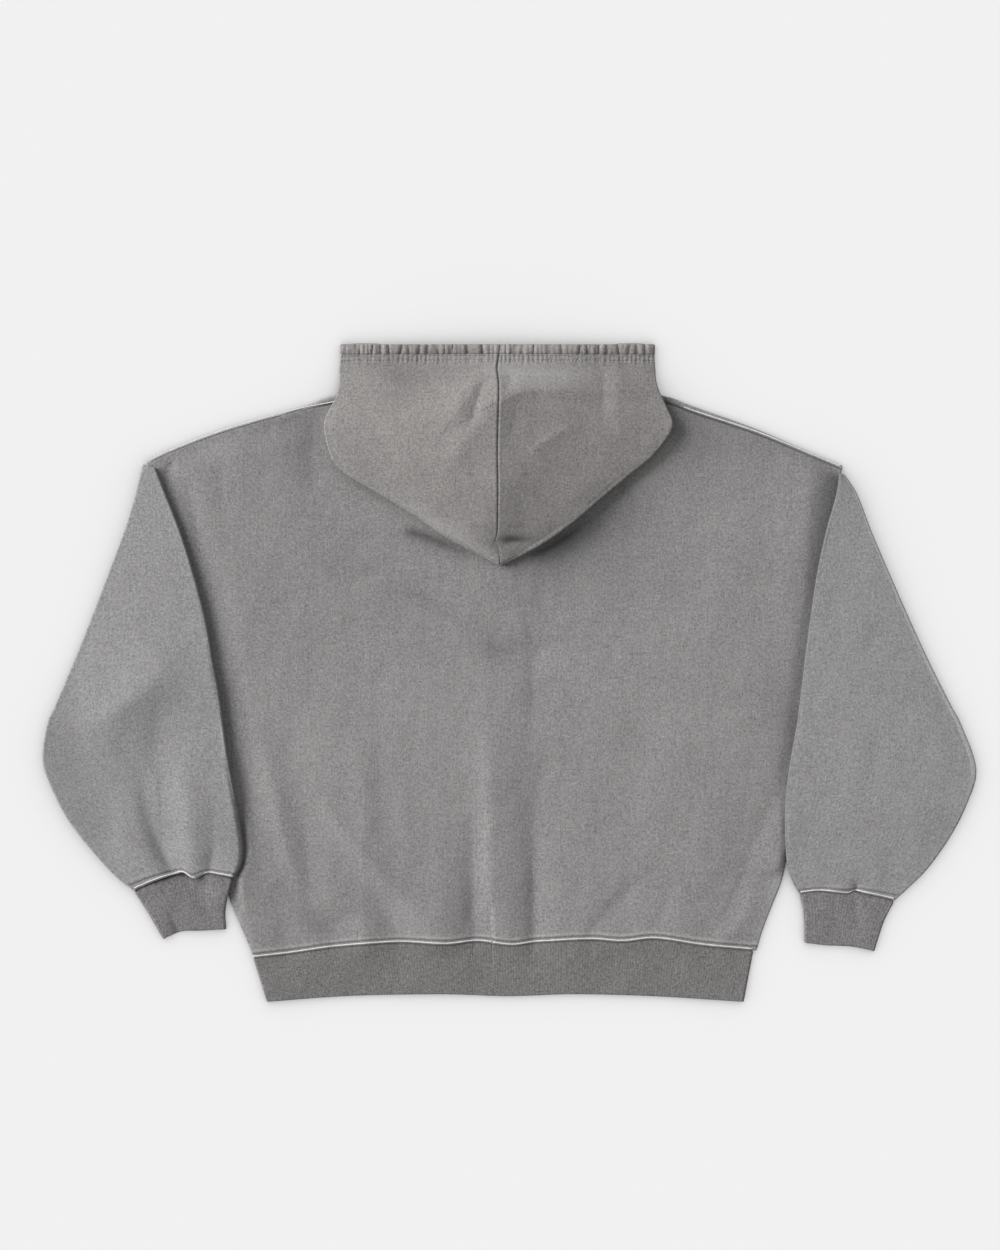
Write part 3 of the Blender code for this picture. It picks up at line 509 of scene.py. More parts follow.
# Tucks of the hood's gathered casing: where each pinches, and how deeply
TUCKS = Table(
    "across depth",
    (-160, 0.8),
    (-154, 0.9),
    (-145, 1.5),
    (-134, 1.2),
    (-124, 1.7),
    (-114, 1.4),
    (-104, 1.9),
    (-93, 1.3),
    (-84, 1.8),
    (-75, 1.2),
    (-63, 1.4),
    (-51, 1.0),
    (-32, 2.2),
    (-17, 2.6),
    (14, 1.3),
    (24, 0.9),
    (35, 1.2),
    (52, 0.9),
    (67, 1.2),
    (83, 1.7),
    (94, 1.5),
    (104, 1.8),
    (113, 0.9),
    (127, 1.5),
    (135, 1.2),
    (145, 1.5),
    (154, 1.3),
)


def mix(a, b, share):
    return a + (b - a) * share


def ease(value, start, end):
    """0 before start, 1 past end, and a smooth rise between them."""
    share = np.clip((value - start) / (end - start), 0.0, 1.0)
    return share * share * (3 - 2 * share)


def plateau(value, start, full, still, end):
    """0 before start, 1 between full and still, 0 past end, and smooth in between."""
    return ease(value, start, full) * (1 - ease(value, still, end))


def bell(distance, width):
    return np.exp(-((distance / width) ** 2))


def place(points):
    """Points of the garment's frame in metres about the middle of the outline."""
    return (np.asarray(points, float) - (*MIDDLE, 0)) / 1000


def outward(which):
    return -1 if which == "left" else 1


def spread(*runs):
    """Places along a row: each run is (start, end, about how far apart)."""
    places = [runs[0][0]]
    for start, end, apart in runs:
        count = max(1, round(abs(end - start) / apart))
        places += [mix(start, end, n / count) for n in range(1, count + 1)]
    return np.array(places)


def points_of(x, y, z):
    """Points from their coordinates, of which a single number stands for all."""
    return np.stack(np.broadcast_arrays(x, y, z), axis=-1).astype(float)


LINE_PARTS = 12  # straight parts of a soft fold's line
FOLD_REACH = 4  # how many times its width a fold is still felt
FOLD_FADE = (-0.5, 0.2, 0.5, 1.05)  # how a fold rises and fades along its line


def fold_line(fold):
    """Points along the bent line of a soft fold."""
    start, bend, end = (
        np.array((fold[f"{part}_x"], fold[f"{part}_y"])) for part in ("start", "bend", "end")
    )
    control = 2 * bend - (start + end) / 2
    shares = np.linspace(0, 1, LINE_PARTS + 1)[:, None]
    return mix(mix(start, control, shares), mix(control, end, shares), shares)


def nearest_on(line, x, y):
    """How far each point is from a line, above 0 on its left, and the share of the way along it."""
    signed = np.full(x.shape, np.inf)
    along = np.zeros(x.shape)
    for n, (a, b) in enumerate(zip(line[:-1], line[1:])):
        run = b - a
        share = np.clip(((x - a[0]) * run[0] + (y - a[1]) * run[1]) / (run @ run), 0, 1)
        off_x, off_y = x - a[0] - share * run[0], y - a[1] - share * run[1]
        distance = np.hypot(off_x, off_y)
        closer = distance < np.abs(signed)
        along = np.where(closer, (n + share) / LINE_PARTS, along)
        on_left = run[0] * off_y - run[1] * off_x > 0
        signed = np.where(closer, np.where(on_left, distance, -distance), signed)
    return signed, along


def fold_height(table, x, y):
    """The height that a table's soft folds add at each point."""
    x, y = np.broadcast_arrays(np.asarray(x, float), np.asarray(y, float))
    total = np.zeros(x.shape)
    for fold in table.named():
        line, crest = fold_line(fold), fold["round"]
        reach = FOLD_REACH * max(fold["left"], fold["right"]) + crest
        low, high = line.min(0) - reach, line.max(0) + reach
        near = (x > low[0]) & (x < high[0]) & (y > low[1]) & (y < high[1])
        if near.any():
            signed, along = nearest_on(line, x[near], y[near])
            height = fold["height"] * plateau(along, *FOLD_FADE)
            on_left = 0.5 + 0.5 * np.tanh(signed / (crest + 1))
            width = mix(fold["right"], fold["left"], on_left)
            total[near] += height * np.exp((crest - np.hypot(signed, crest)) / width)
    return total


WAVES = (150, 118, 93, 74, 58, 46, 37, 30, 24, 19)  # lengths of the cloth's slight waves
WAVE_BENDS = (0.004, 0.012)  # how quickly they turn, at least and at most
WAVE_SEEDS = {"back": 4, "front": 9, "hood": 15, "sleeve": 21, "cuff": 31, "hem": 41}


def unevenness(cloth, x, y, height=0.35):
    """The slight unevenness of cloth that lies loosely: waves of many lengths and directions."""
    random = np.random.default_rng(WAVE_SEEDS[cloth])
    total = np.zeros(np.broadcast(x, y).shape)
    for length in WAVES:
        angle, phase = random.uniform(0, 2 * math.pi, 2)
        wave = (x * math.cos(angle) + y * math.sin(angle)) * 2 * math.pi / length
        bend_x, bend_y = random.uniform(*WAVE_BENDS), random.uniform(*WAVE_BENDS)
        bent = 0.8 * np.sin(x * bend_x + y * bend_y + phase)
        total += height * (length / 60) ** 0.75 * 0.5 * np.sin(wave + phase + 2 * bent)
    return total


# Materials


def new_material(name, roughness, metallic=0.0, sheen=0.0):
    material = bpy.data.materials.new(name)
    material.use_nodes = True
    shader = material.node_tree.nodes["Principled BSDF"]
    settings = {"Roughness": roughness, "Metallic": metallic}
    settings["Specular IOR Level"] = 0.5 if metallic else 0.25
    if sheen:
        settings.update({"Sheen Weight": sheen, "Sheen Roughness": 0.5})
    for socket, value in settings.items():
        shader.inputs[socket].default_value = value
    return material, shader


def shaded(tone, share):
    """A colour as many times as bright as a tone."""
    return (*(part * share for part in tone), 1)


class Nodes:
    """Short ways to add the nodes of a material and join them."""

    def __init__(self, material, shader):
        self.tree = material.node_tree
        self.shader = shader

    def feed(self, socket, value):
        if isinstance(value, bpy.types.NodeSocket):
            self.tree.links.new(value, socket)
        else:
            socket.default_value = value

    def add(self, kind, inputs=(), **settings):
        node = self.tree.nodes.new(kind)
        for name, value in settings.items():
            setattr(node, name, value)
        for key, value in dict(inputs).items():
            self.feed(node.inputs[key], value)
        return node

    def surface(self, socket, value):
        self.feed(self.shader.inputs[socket], value)

    def position(self):
        return self.add("ShaderNodeTexCoord").outputs["Object"]

    def grain(self, x_size, y_size):
        """The cloth's own coordinates, as many units as there are threads of that size in mm."""
        uv = self.add("ShaderNodeUVMap", uv_map="grain")
        scale = (1000 / x_size, 1000 / y_size, 1)
        return self.add("ShaderNodeMapping", {"Vector": uv.outputs[0], "Scale": scale}).outputs[0]

    def noise(self, vector, detail=2.0, roughness=0.5, scale=1.0):
        inputs = {"Vector": vector, "Scale": scale, "Detail": detail, "Roughness": roughness}
        return self.add("ShaderNodeTexNoise", inputs).outputs["Fac"]

    def math(self, operation, a, b=0.0, c=0.0):
        return self.add("ShaderNodeMath", {0: a, 1: b, 2: c}, operation=operation).outputs[0]

    def ramp(self, value, low, high, to_low=0.0, to_high=1.0):
        inputs = {0: value, 1: low, 2: high, 3: to_low, 4: to_high}
        return self.add("ShaderNodeMapRange", inputs).outputs[0]

    def blend(self, share, a, b, kind="MIX"):
        inputs = {0: share, 6: a, 7: b}
        return self.add("ShaderNodeMix", inputs, data_type="RGBA", blend_type=kind).outputs[2]

    def bump(self, height, strength, distance):
        inputs = {"Height": height, "Strength": strength, "Distance": distance}
        self.surface("Normal", self.add("ShaderNodeBump", inputs).outputs[0])


# The parts of the knit's pattern, each a noise: how wide and tall its spots are in millimetres, how
# detailed and rough it is, and how much it shows. The speckle of a knit is its flecks and curls.
KNIT = Table(
    "part wide tall detail rough share",
    ("flecks", 1.6, 1.8, 3, 0.7, 1.3),
    ("curls", 3.2, 3.6, 3, 0.6, 1.0),
    ("wales", 2.2, 22, 2, 0.6, 0.28),
    ("mottle", 8, 9, 2, 0.6, 0.3),
    ("clouds", 44, 52, 5, 0.72, 0.36),
    ("bands", 17, 210, 2, 0.5, 0.1),
)
PALE = (0.66, 0.655, 0.64, 1)  # cloth whose dye is rubbed through, and the colour of painted light
TINTS = ((0.975, 1.01, 0.98, 1), (1.025, 0.99, 1.03, 1))  # the dye's greener and redder spots
DEEPEST, PALEST = 0.32, 1.68  # the pattern's ends, in shares of its tone
DEEPEST_DYE_AND_SHADE = 0.24  # and the tone of a seam's deepest dye, and of the deepest painted shade


def knit_material(name, tone, speckle=1.0, rib_pitch=0.0):
    """Pigment-washed knit: fine speckle and wales, cloudy fading, rubbed or deeper-dyed seams, and
    painted shade and painted light.
    """
    material, shader = new_material(name, 0.95, sheen=0.2)
    nodes = Nodes(material, shader)
    spots, pattern = {}, None
    for part in KNIT.named():
        grain = nodes.grain(part["wide"], part["tall"])
        noise = nodes.noise(grain, part["detail"], part["rough"])
        share = part["share"] * (speckle if part["part"] in ("flecks", "curls") else 1)
        if pattern is None:
            pattern = nodes.math("MULTIPLY_ADD", noise, share, 0.5 - share / 2)
        else:
            strayed = nodes.math("MULTIPLY_ADD", noise, share, -share / 2)
            pattern = nodes.math("ADD", pattern, strayed)
        spots[part["part"]] = noise
    if rib_pitch:
        uv = nodes.add("ShaderNodeUVMap", uv_map="grain").outputs[0]
        across = nodes.add("ShaderNodeSeparateXYZ", {0: uv}).outputs[0]
        turns = nodes.math("MULTIPLY", across, 2 * math.pi * 1000 / rib_pitch)
        pattern = nodes.math("MULTIPLY_ADD", nodes.math("COSINE", turns), 0.05, pattern)
    brightness = nodes.ramp(pattern, -0.2, 1.2)
    colour = nodes.blend(brightness, shaded(tone, DEEPEST), shaded(tone, PALEST))
    hue = nodes.ramp(nodes.noise(nodes.grain(2.9, 2.9), detail=1), 0.3, 0.7)
    colour = nodes.blend(1.0, colour, nodes.blend(hue, *TINTS), "MULTIPLY")
    # The tone attribute pales the cloth for wear and painted light, and darkens it for deeper dye
    # and painted shade
    worn = nodes.add("ShaderNodeAttribute", attribute_name="worn").outputs["Fac"]
    broken = nodes.ramp(nodes.noise(nodes.grain(1.3, 1.3), detail=2), 0.3, 0.6)
    pale = nodes.math("MULTIPLY", nodes.ramp(worn, 0.0, 1.0), nodes.ramp(broken, 0, 1, 0.6, 1))
    colour = nodes.blend(pale, colour, PALE)
    colour = nodes.blend(nodes.ramp(worn, -1.0, 0.0, 0.85, 0.0), colour, shaded(tone, DEEPEST_DYE_AND_SHADE))
    nodes.surface("Base Color", colour)
    loops = nodes.math("MULTIPLY", spots["flecks"], 0.7)
    columns = nodes.math("MULTIPLY", spots["wales"], 0.5)
    nodes.bump(nodes.math("ADD", loops, columns), 0.5, 0.0006)
    return material


def thread_material(name, colour, spread_of_tone=0.25):
    material, shader = new_material(name, 0.85, sheen=0.1)
    nodes = Nodes(material, shader)
    tone = nodes.noise(nodes.position(), detail=2, scale=900)
    ends = (shaded(colour, 1 + stray) for stray in (-spread_of_tone, spread_of_tone))
    nodes.surface("Base Color", nodes.blend(nodes.ramp(tone, 0.3, 0.7), *ends))
    nodes.bump(tone, 0.4, 0.0003)
    return material


def tape_material():
    """Woven zip tape: fine twill lines along it."""
    material, shader = new_material("zip_tape_weave", 0.85)
    nodes = Nodes(material, shader)
    inputs = {"Vector": nodes.position(), "Scale": 900.0, "Distortion": 1.0, "Detail": 1.0}
    twill = nodes.add("ShaderNodeTexWave", inputs, bands_direction="DIAGONAL").outputs["Fac"]
    shade = nodes.blend(twill, (0.085, 0.083, 0.082, 1), (0.2, 0.196, 0.193, 1))
    nodes.surface("Base Color", shade)
    nodes.bump(twill, 0.5, 0.0002)
    return material


def metal_material():
    """Dull nickel, rubbed brighter in places and tarnished in others."""
    material, shader = new_material("worn_nickel", 0.38, metallic=1.0)
    nodes = Nodes(material, shader)
    position = nodes.position()
    tarnish = nodes.ramp(nodes.noise(position, detail=4, scale=260), 0.35, 0.65)
    nodes.surface("Base Color", nodes.blend(tarnish, (0.27, 0.26, 0.25, 1), (0.56, 0.55, 0.53, 1)))
    scratches = nodes.noise(position, detail=3, scale=1500)
    nodes.surface("Roughness", nodes.ramp(scratches, 0.3, 0.7, 0.28, 0.5))
    nodes.bump(scratches, 0.15, 0.0001)
    return material


def floor_material():
    material, shader = new_material("pale_floor", 0.9)
    shader.inputs["Base Color"].default_value = (0.80, 0.80, 0.80, 1)
    shader.inputs["Specular IOR Level"].default_value = 0.0
    return material


FINISHES = {
    "fleece": knit_material("washed_fleece", (0.236, 0.230, 0.228)),
    "sleeve": knit_material("sleeve_fleece", (0.256, 0.250, 0.252)),
    # The hood's halves get two copies of one fleece, the right one darker with painted shade
    "hood_left": knit_material("hood_fleece_left", (0.236, 0.225, 0.218)),
    "hood_right": knit_material("hood_fleece_right_painted_shade", (0.216, 0.205, 0.199)),
    "rib": knit_material("washed_rib", (0.160, 0.156, 0.153), 1.25, RIB_PITCH),
    "cuff": knit_material("cuff_rib", (0.180, 0.170, 0.173), 1.25, RIB_PITCH),
    "worn_edge": thread_material("worn_seam_edge", (0.62, 0.615, 0.60), 0.22),
    "thread": thread_material("grey_thread", (0.16, 0.155, 0.153)),
    "pale_thread": thread_material("pale_thread", (0.42, 0.41, 0.40)),
    "tape": tape_material(),
    "metal": metal_material(),
}


# Making pieces


def in_scene(name, data):
    """A new object of a mesh, curve, light or camera."""
    thing = bpy.data.objects.new(name, data)
    bpy.context.scene.collection.objects.link(thing)
    return thing


def new_piece(name, points, faces):
    mesh = bpy.data.meshes.new(name)
    mesh.from_pydata(points.tolist(), [], faces)
    return in_scene(name, mesh)


def finished(piece, finish):
    """Gives a piece its material. All new pieces ride on the garment."""
    piece.data.materials.append(FINISHES[finish])
    piece.data.shade_smooth()
    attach(piece, "hoodie")
    return piece


def normals_of(points, ring=False):
    """The directions square to a grid of points, each as long as 1."""
    if ring:
        along = np.roll(points, -1, 1) - np.roll(points, 1, 1)
    else:
        along = np.gradient(points, axis=1)
    normals = np.cross(along, np.gradient(points, axis=0))
    return normals / np.linalg.norm(normals, axis=2, keepdims=True)


def cloth_grain(points, at_column):
    """Where each point of a grid lies in the cloth before it was folded, in metres: across from one
    column, and along that column."""
    across = np.linalg.norm(np.diff(points, axis=1), axis=2).cumsum(1)
    across = np.concatenate((np.zeros((len(points), 1)), across), axis=1)
    across -= across[:, at_column : at_column + 1]
    along = np.linalg.norm(np.diff(points[:, at_column], axis=0), axis=1).cumsum()
    along = np.broadcast_to(np.concatenate(((0,), along))[:, None], across.shape)
    return np.stack((across, along), axis=2) / 1000


def shell(name, middle, finish, grain, thick=CLOTH, worn=0, ring=False, free=()):
    """A wall of cloth about a grid of points, its edges rounded. free names the edges that aren't
    sewn to anything, whose rounding reaches half the thickness further."""
    points = place(middle)
    rows, columns = points.shape[:2]
    count = rows * columns
    half = np.broadcast_to(np.asarray(thick, float) / 2000, (rows, columns))[..., None]
    normals = normals_of(points, ring)
    reach = np.full((rows, columns), SEAM_REACH / 1000)
    places = {"first": np.s_[0, :], "last": np.s_[-1, :], "start": np.s_[:, 0], "end": np.s_[:, -1]}
    for edge in free:
        reach[places[edge]] = half[places[edge]][..., 0]
    index = np.arange(count).reshape(rows, columns)
    if ring:
        index = np.concatenate((index, index[:, :1]), axis=1)
        rims = [index[0, :-1], index[-1, :-1][::-1]]
    else:
        rims = [np.concatenate((index[0, :-1], index[:-1, -1], index[-1, :0:-1], index[:0:-1, 0]))]
    corners = (index[:-1, :-1], index[:-1, 1:], index[1:, 1:], index[1:, :-1])
    quads = np.stack(corners, axis=-1).reshape(-1, 4)
    upper, lower = ((points + side * normals * half).reshape(-1, 3) for side in (1, -1))
    vertices, faces = [upper, lower], [quads, quads[:, ::-1] + count]
    source = [np.arange(count), np.arange(count)]
    total = 2 * count
    flat, flat_normals = points.reshape(-1, 3), normals.reshape(-1, 3)
    flat_half, flat_reach = half.reshape(-1, 1), reach.reshape(-1, 1)
    for rim in rims:
        run = np.roll(flat[rim], -1, 0) - np.roll(flat[rim], 1, 0)
        out = np.cross(run, flat_normals[rim])
        out /= np.maximum(np.linalg.norm(out, axis=1, keepdims=True), 1e-9)
        loops = [rim]
        for angle in np.radians(EDGE_ANGLES):
            side = out * flat_reach[rim] * math.sin(angle)
            vertices.append(flat[rim] + side + flat_normals[rim] * flat_half[rim] * math.cos(angle))
            loops.append(total + np.arange(len(rim)))
            source.append(rim)
            total += len(rim)
        loops.append(rim + count)
        for near, far in zip(loops[:-1], loops[1:]):
            faces.append(np.stack((near, far, np.roll(far, -1), np.roll(near, -1)), axis=-1))
    vertices = np.maximum(np.concatenate(vertices), (-np.inf, -np.inf, 0))
    piece = new_piece(name, vertices, np.concatenate(faces).tolist())
    source = np.concatenate(source)
    corners = np.empty(len(piece.data.loops), int)
    piece.data.loops.foreach_get("vertex_index", corners)
    uv = grain.reshape(-1, 2)[source][corners]
    piece.data.uv_layers.new(name="grain").data.foreach_set("uv", uv.ravel())
    # Tone for each point: above 0 paler for wear and painted light, below 0 darker for deeper dye
    # and painted shade
    tone = np.broadcast_to(np.asarray(worn, float), (rows, columns))
    layer = piece.data.attributes.new("worn", "FLOAT", "POINT")
    layer.data.foreach_set("value", tone.reshape(-1)[source])
    return finished(piece, finish)


def evenly_along(path, apart):
    """Points that far apart along a path, and how far along it each is."""
    lengths = np.concatenate(((0,), np.linalg.norm(np.diff(path, axis=0), axis=1).cumsum()))
    at = np.linspace(0, lengths[-1], max(2, round(lengths[-1] / apart) + 1))
    return np.stack([np.interp(at, lengths, path[:, n]) for n in range(3)], axis=1), at


def ways_along(points):
    """The ways along a path, to its side and up from it, at each of its points."""
    ahead = np.gradient(points, axis=0)
    ahead /= np.linalg.norm(ahead, axis=1, keepdims=True)
    side = np.cross(ahead, (0, 0, 1.0))
    side /= np.linalg.norm(side, axis=1, keepdims=True)
    return ahead, side, np.cross(side, ahead)


def select_only(piece):
    """Selects a piece and makes it the active one."""
    bpy.ops.object.select_all(action="DESELECT")
    piece.select_set(True)
    bpy.context.view_layer.objects.active = piece


def turned_out(piece, finish):
    """A piece, finished once its faces point outwards."""
    select_only(piece)
    bpy.ops.object.mode_set(mode="EDIT")
    bpy.ops.mesh.select_all(action="SELECT")
    bpy.ops.mesh.normals_make_consistent(inside=False)
    bpy.ops.object.mode_set(mode="OBJECT")
    piece.select_set(False)
    return finished(piece, finish)


STITCH_PITCH = 2.3  # of the stitches that pinch a worn edge


def welt(name, path, wide):
    """The rounded edge of a seam's turnings along a path, pinched a little at each stitch."""
    points, at = evenly_along(path, 0.75)
    to_stitch = (at + 0.5 * STITCH_PITCH) % STITCH_PITCH - STITCH_PITCH / 2
    full = 1 - 0.16 * bell(to_stitch, 0.45)
    full *= 1 + 0.12 * np.sin(at / 5.7) * np.sin(at / 2.9 + 1)
    full[0] = full[-1] = 0.3
    curve = bpy.data.curves.new(name, "CURVE")
    curve.dimensions = "3D"
    curve.bevel_depth = wide / 2000
    curve.bevel_resolution = 2
    curve.use_fill_caps = True
    spline = curve.splines.new("POLY")
    spline.points.add(len(points) - 1)
    spline.points.foreach_set("co", np.column_stack((place(points), np.ones(len(points)))).ravel())
    spline.points.foreach_set("radius", full)
    piece = in_scene(name, curve)
    select_only(piece)
    bpy.ops.object.convert(target="MESH")
    piece.data.name = name
    return turned_out(piece, "worn_edge")


def from_lowest(corners):
    """A face's corners from its lowest one on, so that every run lists the faces alike."""
    corners = list(corners)
    start = corners.index(min(corners))
    return corners[start:] + corners[:start]


def copies(name, model, places, finish):
    """One piece of many copies of a small model, each moved by a place: its middle in millimetres,
    and the ways that the model's x, y and z turn to."""
    count = len(model.data.vertices)
    shape = np.empty(count * 3)
    model.data.vertices.foreach_get("co", shape)
    shape = shape.reshape(-1, 3) * 1000
    faces = sorted(from_lowest(face.vertices) for face in model.data.polygons)
    bpy.data.objects.remove(model)
    vertices = np.concatenate([middle + shape @ np.array(ways) for middle, *ways in places])
    faces = [[n * count + corner for corner in face] for n in range(len(places)) for face in faces]
    return turned_out(new_piece(name, place(vertices), faces), finish)


def model_stitch(long, thick):
    """One stitch along y: a plump thread whose ends dip into the cloth."""
    bpy.ops.object.select_all(action="DESELECT")
    bpy.ops.mesh.primitive_uv_sphere_add(
        segments=6, ring_count=6, radius=thick / 2000, rotation=(math.pi / 2, 0, 0)
    )
    stitch = bpy.context.active_object
    bpy.ops.object.transform_apply(rotation=True)
    bpy.ops.object.mode_set(mode="EDIT")
    bpy.ops.transform.resize(value=(1, long / thick, 1))
    bpy.ops.mesh.select_all(action="DESELECT")
    bpy.ops.object.mode_set(mode="OBJECT")
    for vertex in stitch.data.vertices:
        vertex.select = abs(vertex.co.y) > 0.4 * long / 1000
    bpy.ops.object.mode_set(mode="EDIT")
    bpy.ops.mesh.select_mode(type="VERT")
    bpy.ops.transform.translate(value=(0, 0, -0.45 * thick / 1000))
    bpy.ops.object.mode_set(mode="OBJECT")
    return stitch


def stitch_rows(name, paths, long=2.3, gap=0.9, thick=0.55, sunk=0.1, finish="thread"):
    """Rows of stitches along paths that lie on the cloth, as one piece."""
    places = []
    for path in paths:
        points, _ = evenly_along(path, long + gap)
        ahead, side, up = ways_along(points)
        places += list(zip(points + up * (thick / 4 - sunk), -side, ahead, up))[:-1]
    copies(name, model_stitch(long, thick), places, finish)


# The body


FOLD_TURN = 80  # degrees that each corner of a folded edge turns through


def folded_edge(foot, head, corner):
    """How far in from the outline, and how high, the middle surface of a fold runs from its lower
    layer to its upper one: a rounded corner, a short wall, and another rounded corner."""
    corner = min(corner, (head - foot) / 2)
    angles = np.radians(np.linspace(-FOLD_TURN, 0, 5))
    below = np.stack((corner * (1 - np.cos(angles)), foot + corner * (1 + np.sin(angles))), axis=1)
    wall = np.stack((np.zeros(2), np.linspace(foot + corner, head - corner, 4)[1:-1]), axis=1)
    above = np.stack((below[::-1, 0], foot + head - below[::-1, 1]), axis=1)
    points = np.concatenate((below, wall, above))
    points[:, 0] += CLOTH / 2
    return points


FOLD_POINTS = len(folded_edge(0, 4, 1))


def side_fold(at, out, profile):
    """The points of a folded edge whose outline is at one point, and faces out there."""
    return points_of(at[0] - out * profile[:, 0], at[1], profile[:, 1])


def hem_seam(x):
    return HEM_SEAM.at(x, "height")


def roll(x):
    """How far the shoulder seam lies back from the outline."""
    return mix(ROLL_AT_NECK, ROLL_AT_TIP, ease(np.abs(x), 190, 330))


def outline_top(x):
    return SHOULDER.at(x, "outline")


def back_top(x):
    """Height of the back's top edge: the shoulder seams, and the neckline between them."""
    x = np.asarray(x, float)
    dip = np.sqrt(np.clip(1 - (x / BACK_NECK_HALF) ** 2, 0, 1))
    neck = mix(outline_top(BACK_NECK_HALF) - ROLL_AT_NECK, BACK_NECK, dip)
    return np.where(np.abs(x) >= BACK_NECK_HALF, outline_top(x) - roll(x) - EDGE, neck)


def front_top(x):
    """Height of a front's top edge: the shoulder's outline, and the front neckline."""
    x = np.abs(np.asarray(x, float))
    share = np.clip((x - ZIP_EDGE) / (NECK_HALF - ZIP_EDGE), 0, 1)
    neck = FRONT_NECK + (NECK_TOP - FRONT_NECK) * (1 - np.sqrt(1 - share**2))
    return np.where(x >= NECK_HALF, outline_top(x), neck)


# The heights between which the zip's slider lifts the fronts, and the back over them
FRONT_LIFTED = (480, 514, 566, 600)
BACK_LIFTED = (460, 545, 556, 615)


def front_lift(x, y):
    """How far the zip's slider and pull hold the cloth beside them off the surface."""
    return SLIDER_LIFT * plateau(y, *FRONT_LIFTED) * (1 - ease(np.abs(x), 12, 45))


def inner_edge(which, y):
    """Where a sleeve's inner fold, or below it the body's side, bounds the back that shows."""
    rows = SLEEVES[which]
    fold = np.interp(y, rows.column("inner_y")[::-1], rows.column("inner_x")[::-1])
    nearer = np.maximum if which == "left" else np.minimum
    return nearer(fold, SIDES.at(y, which) - outward(which) * 2)


FALL_TAIL = 80  # how far past the fall's width the back still lies low
LOWEST = -0.8  # how far below the frame's the back may sink before it settles


def swell(x, y):
    """How far the back, and what lies on it, rises above the frame's: loosely between the sleeves,
    and over the zip's slider."""
    over_slider = plateau(y, *BACK_LIFTED) * (1 - ease(np.abs(x), 18, 75))
    from_left, from_right = x - inner_edge("left", y), inner_edge("right", y) - x
    from_top = back_top(x) - y
    left_slope = 120 - 82 * ease(y, 110, 190)
    loose = (LOOSE_LIFT + fold_height(SWELLS, x, y)) * ease(from_left, 4, left_slope)
    loose = loose * ease(from_right, 2, 110) * ease(from_top, 2, 34)
    wide = FALL.at(y, "wide")
    rise = np.sin(math.pi / 2 * np.clip(from_right / wide, 0, 1))
    fall = FALL.at(y, "drop") * rise * np.exp(-np.maximum(from_right - wide, 0) / FALL_TAIL)
    return BACK_LIFT * over_slider + loose + fall * ease(from_top, 1, 14)


HOOD_TIP = (2, 462)  # a little inside the hood's lowest point on the back
HOOD_SLOPE = 0.62  # how steeply its edge rises on both sides of it


def under_hood(x, y):
    """1 where the hood lies on the back, and 0 away from it."""
    lowest = HOOD_TIP[1] + HOOD_SLOPE * np.abs(x - HOOD_TIP[0])
    return ease(y, lowest - 4, lowest + 10) * ease(np.abs(x), 186, 168)


def back_height(x, y):
    """Height of the back's middle surface, with its folds."""
    folds = fold_height(BACK_FOLDS, x, y) + unevenness("back", x, y, 0.15) * ease(y, 40, 90)
    # Small ripples round the hood's tip
    below, aside = HOOD_TIP[1] - y, 0.3 * np.abs(x)
    near = ease(below, 50, 22) * (1 - ease(-below, aside, 18 + aside)) * ease(np.abs(x), 110, 50)
    folds += 0.1 * np.sin(x / 2.6 + 2.5 * np.sin(x / 13)) * near
    folds *= ease(back_top(x) - y, 1, 12)
    for which in BOTH:
        folds *= ease(-outward(which) * (x - inner_edge(which, y)), 0, 8)
    height = swell(x, y) + folds * (1 - under_hood(x, y))
    settled = LOWEST + 0.5 * np.tanh((height - LOWEST) / 0.5)
    return BACK + np.where(height < LOWEST, settled, height)


WELT_AT = 1.8  # from a seam to the crest of its worn edge
STITCHED_AT = 4.4  # from a seam to the topstitching beside it
RIDGE_AT = 7.0  # from a seam to the ridge of cloth past its topstitching


def seam_pinch(distance, ridge=0.22):
    """How cloth dips into a seam and under the topstitching beside it."""
    dips = -1.0 * bell(distance, 1.2) - 0.7 * bell(distance - STITCHED_AT, 0.9)
    return dips + ridge * bell(distance - RIDGE_AT, 1.8)


def seam_wear(distance, pale=0.2):
    """How cloth beside a seam is marked: dark along the stitching and rubbed pale on the ridge past
    it.
    """
    dark = 0.75 * bell(distance - STITCHED_AT, 0.95)
    return pale * bell(distance - RIDGE_AT, 1.4) - dark


TURN = (0, 0.2, 0.45, 1)  # shares of the way round a body panel's turned side
TURN_INSET = (1.0, 2.5, 4.0, 8.0)  # how far in each lies where the side is flat


def turned_edge(x, y, inwards, level, shares):
    """Points of a body panel at its side, from the edge in: turned to face the other panel below
    the armhole, and flat above it."""
    seamed = 1 - ease(y, UNDERARM - 30, UNDERARM + 20)
    middle = (FLOOR + BACK) / 2
    up = 1 if level > middle else -1
    rim = 0.25 + 0.55 * ease(y, 235, 280)
    bend = CLOTH / 2 + 0.45
    knee = max(abs(level - middle) - bend, rim + 0.15)
    turned = np.interp(shares, TURN, (1.0, 1.0, 1.0 + bend * 0.3, 1.0 + bend))
    heights = (middle + up * rim, middle + up * knee, level - up * bend * 0.3, level)
    height = np.interp(shares, TURN, heights)
    inset = mix(np.interp(shares, TURN, TURN_INSET), turned, seamed)
    return x + inwards * inset, mix(level, height, seamed)


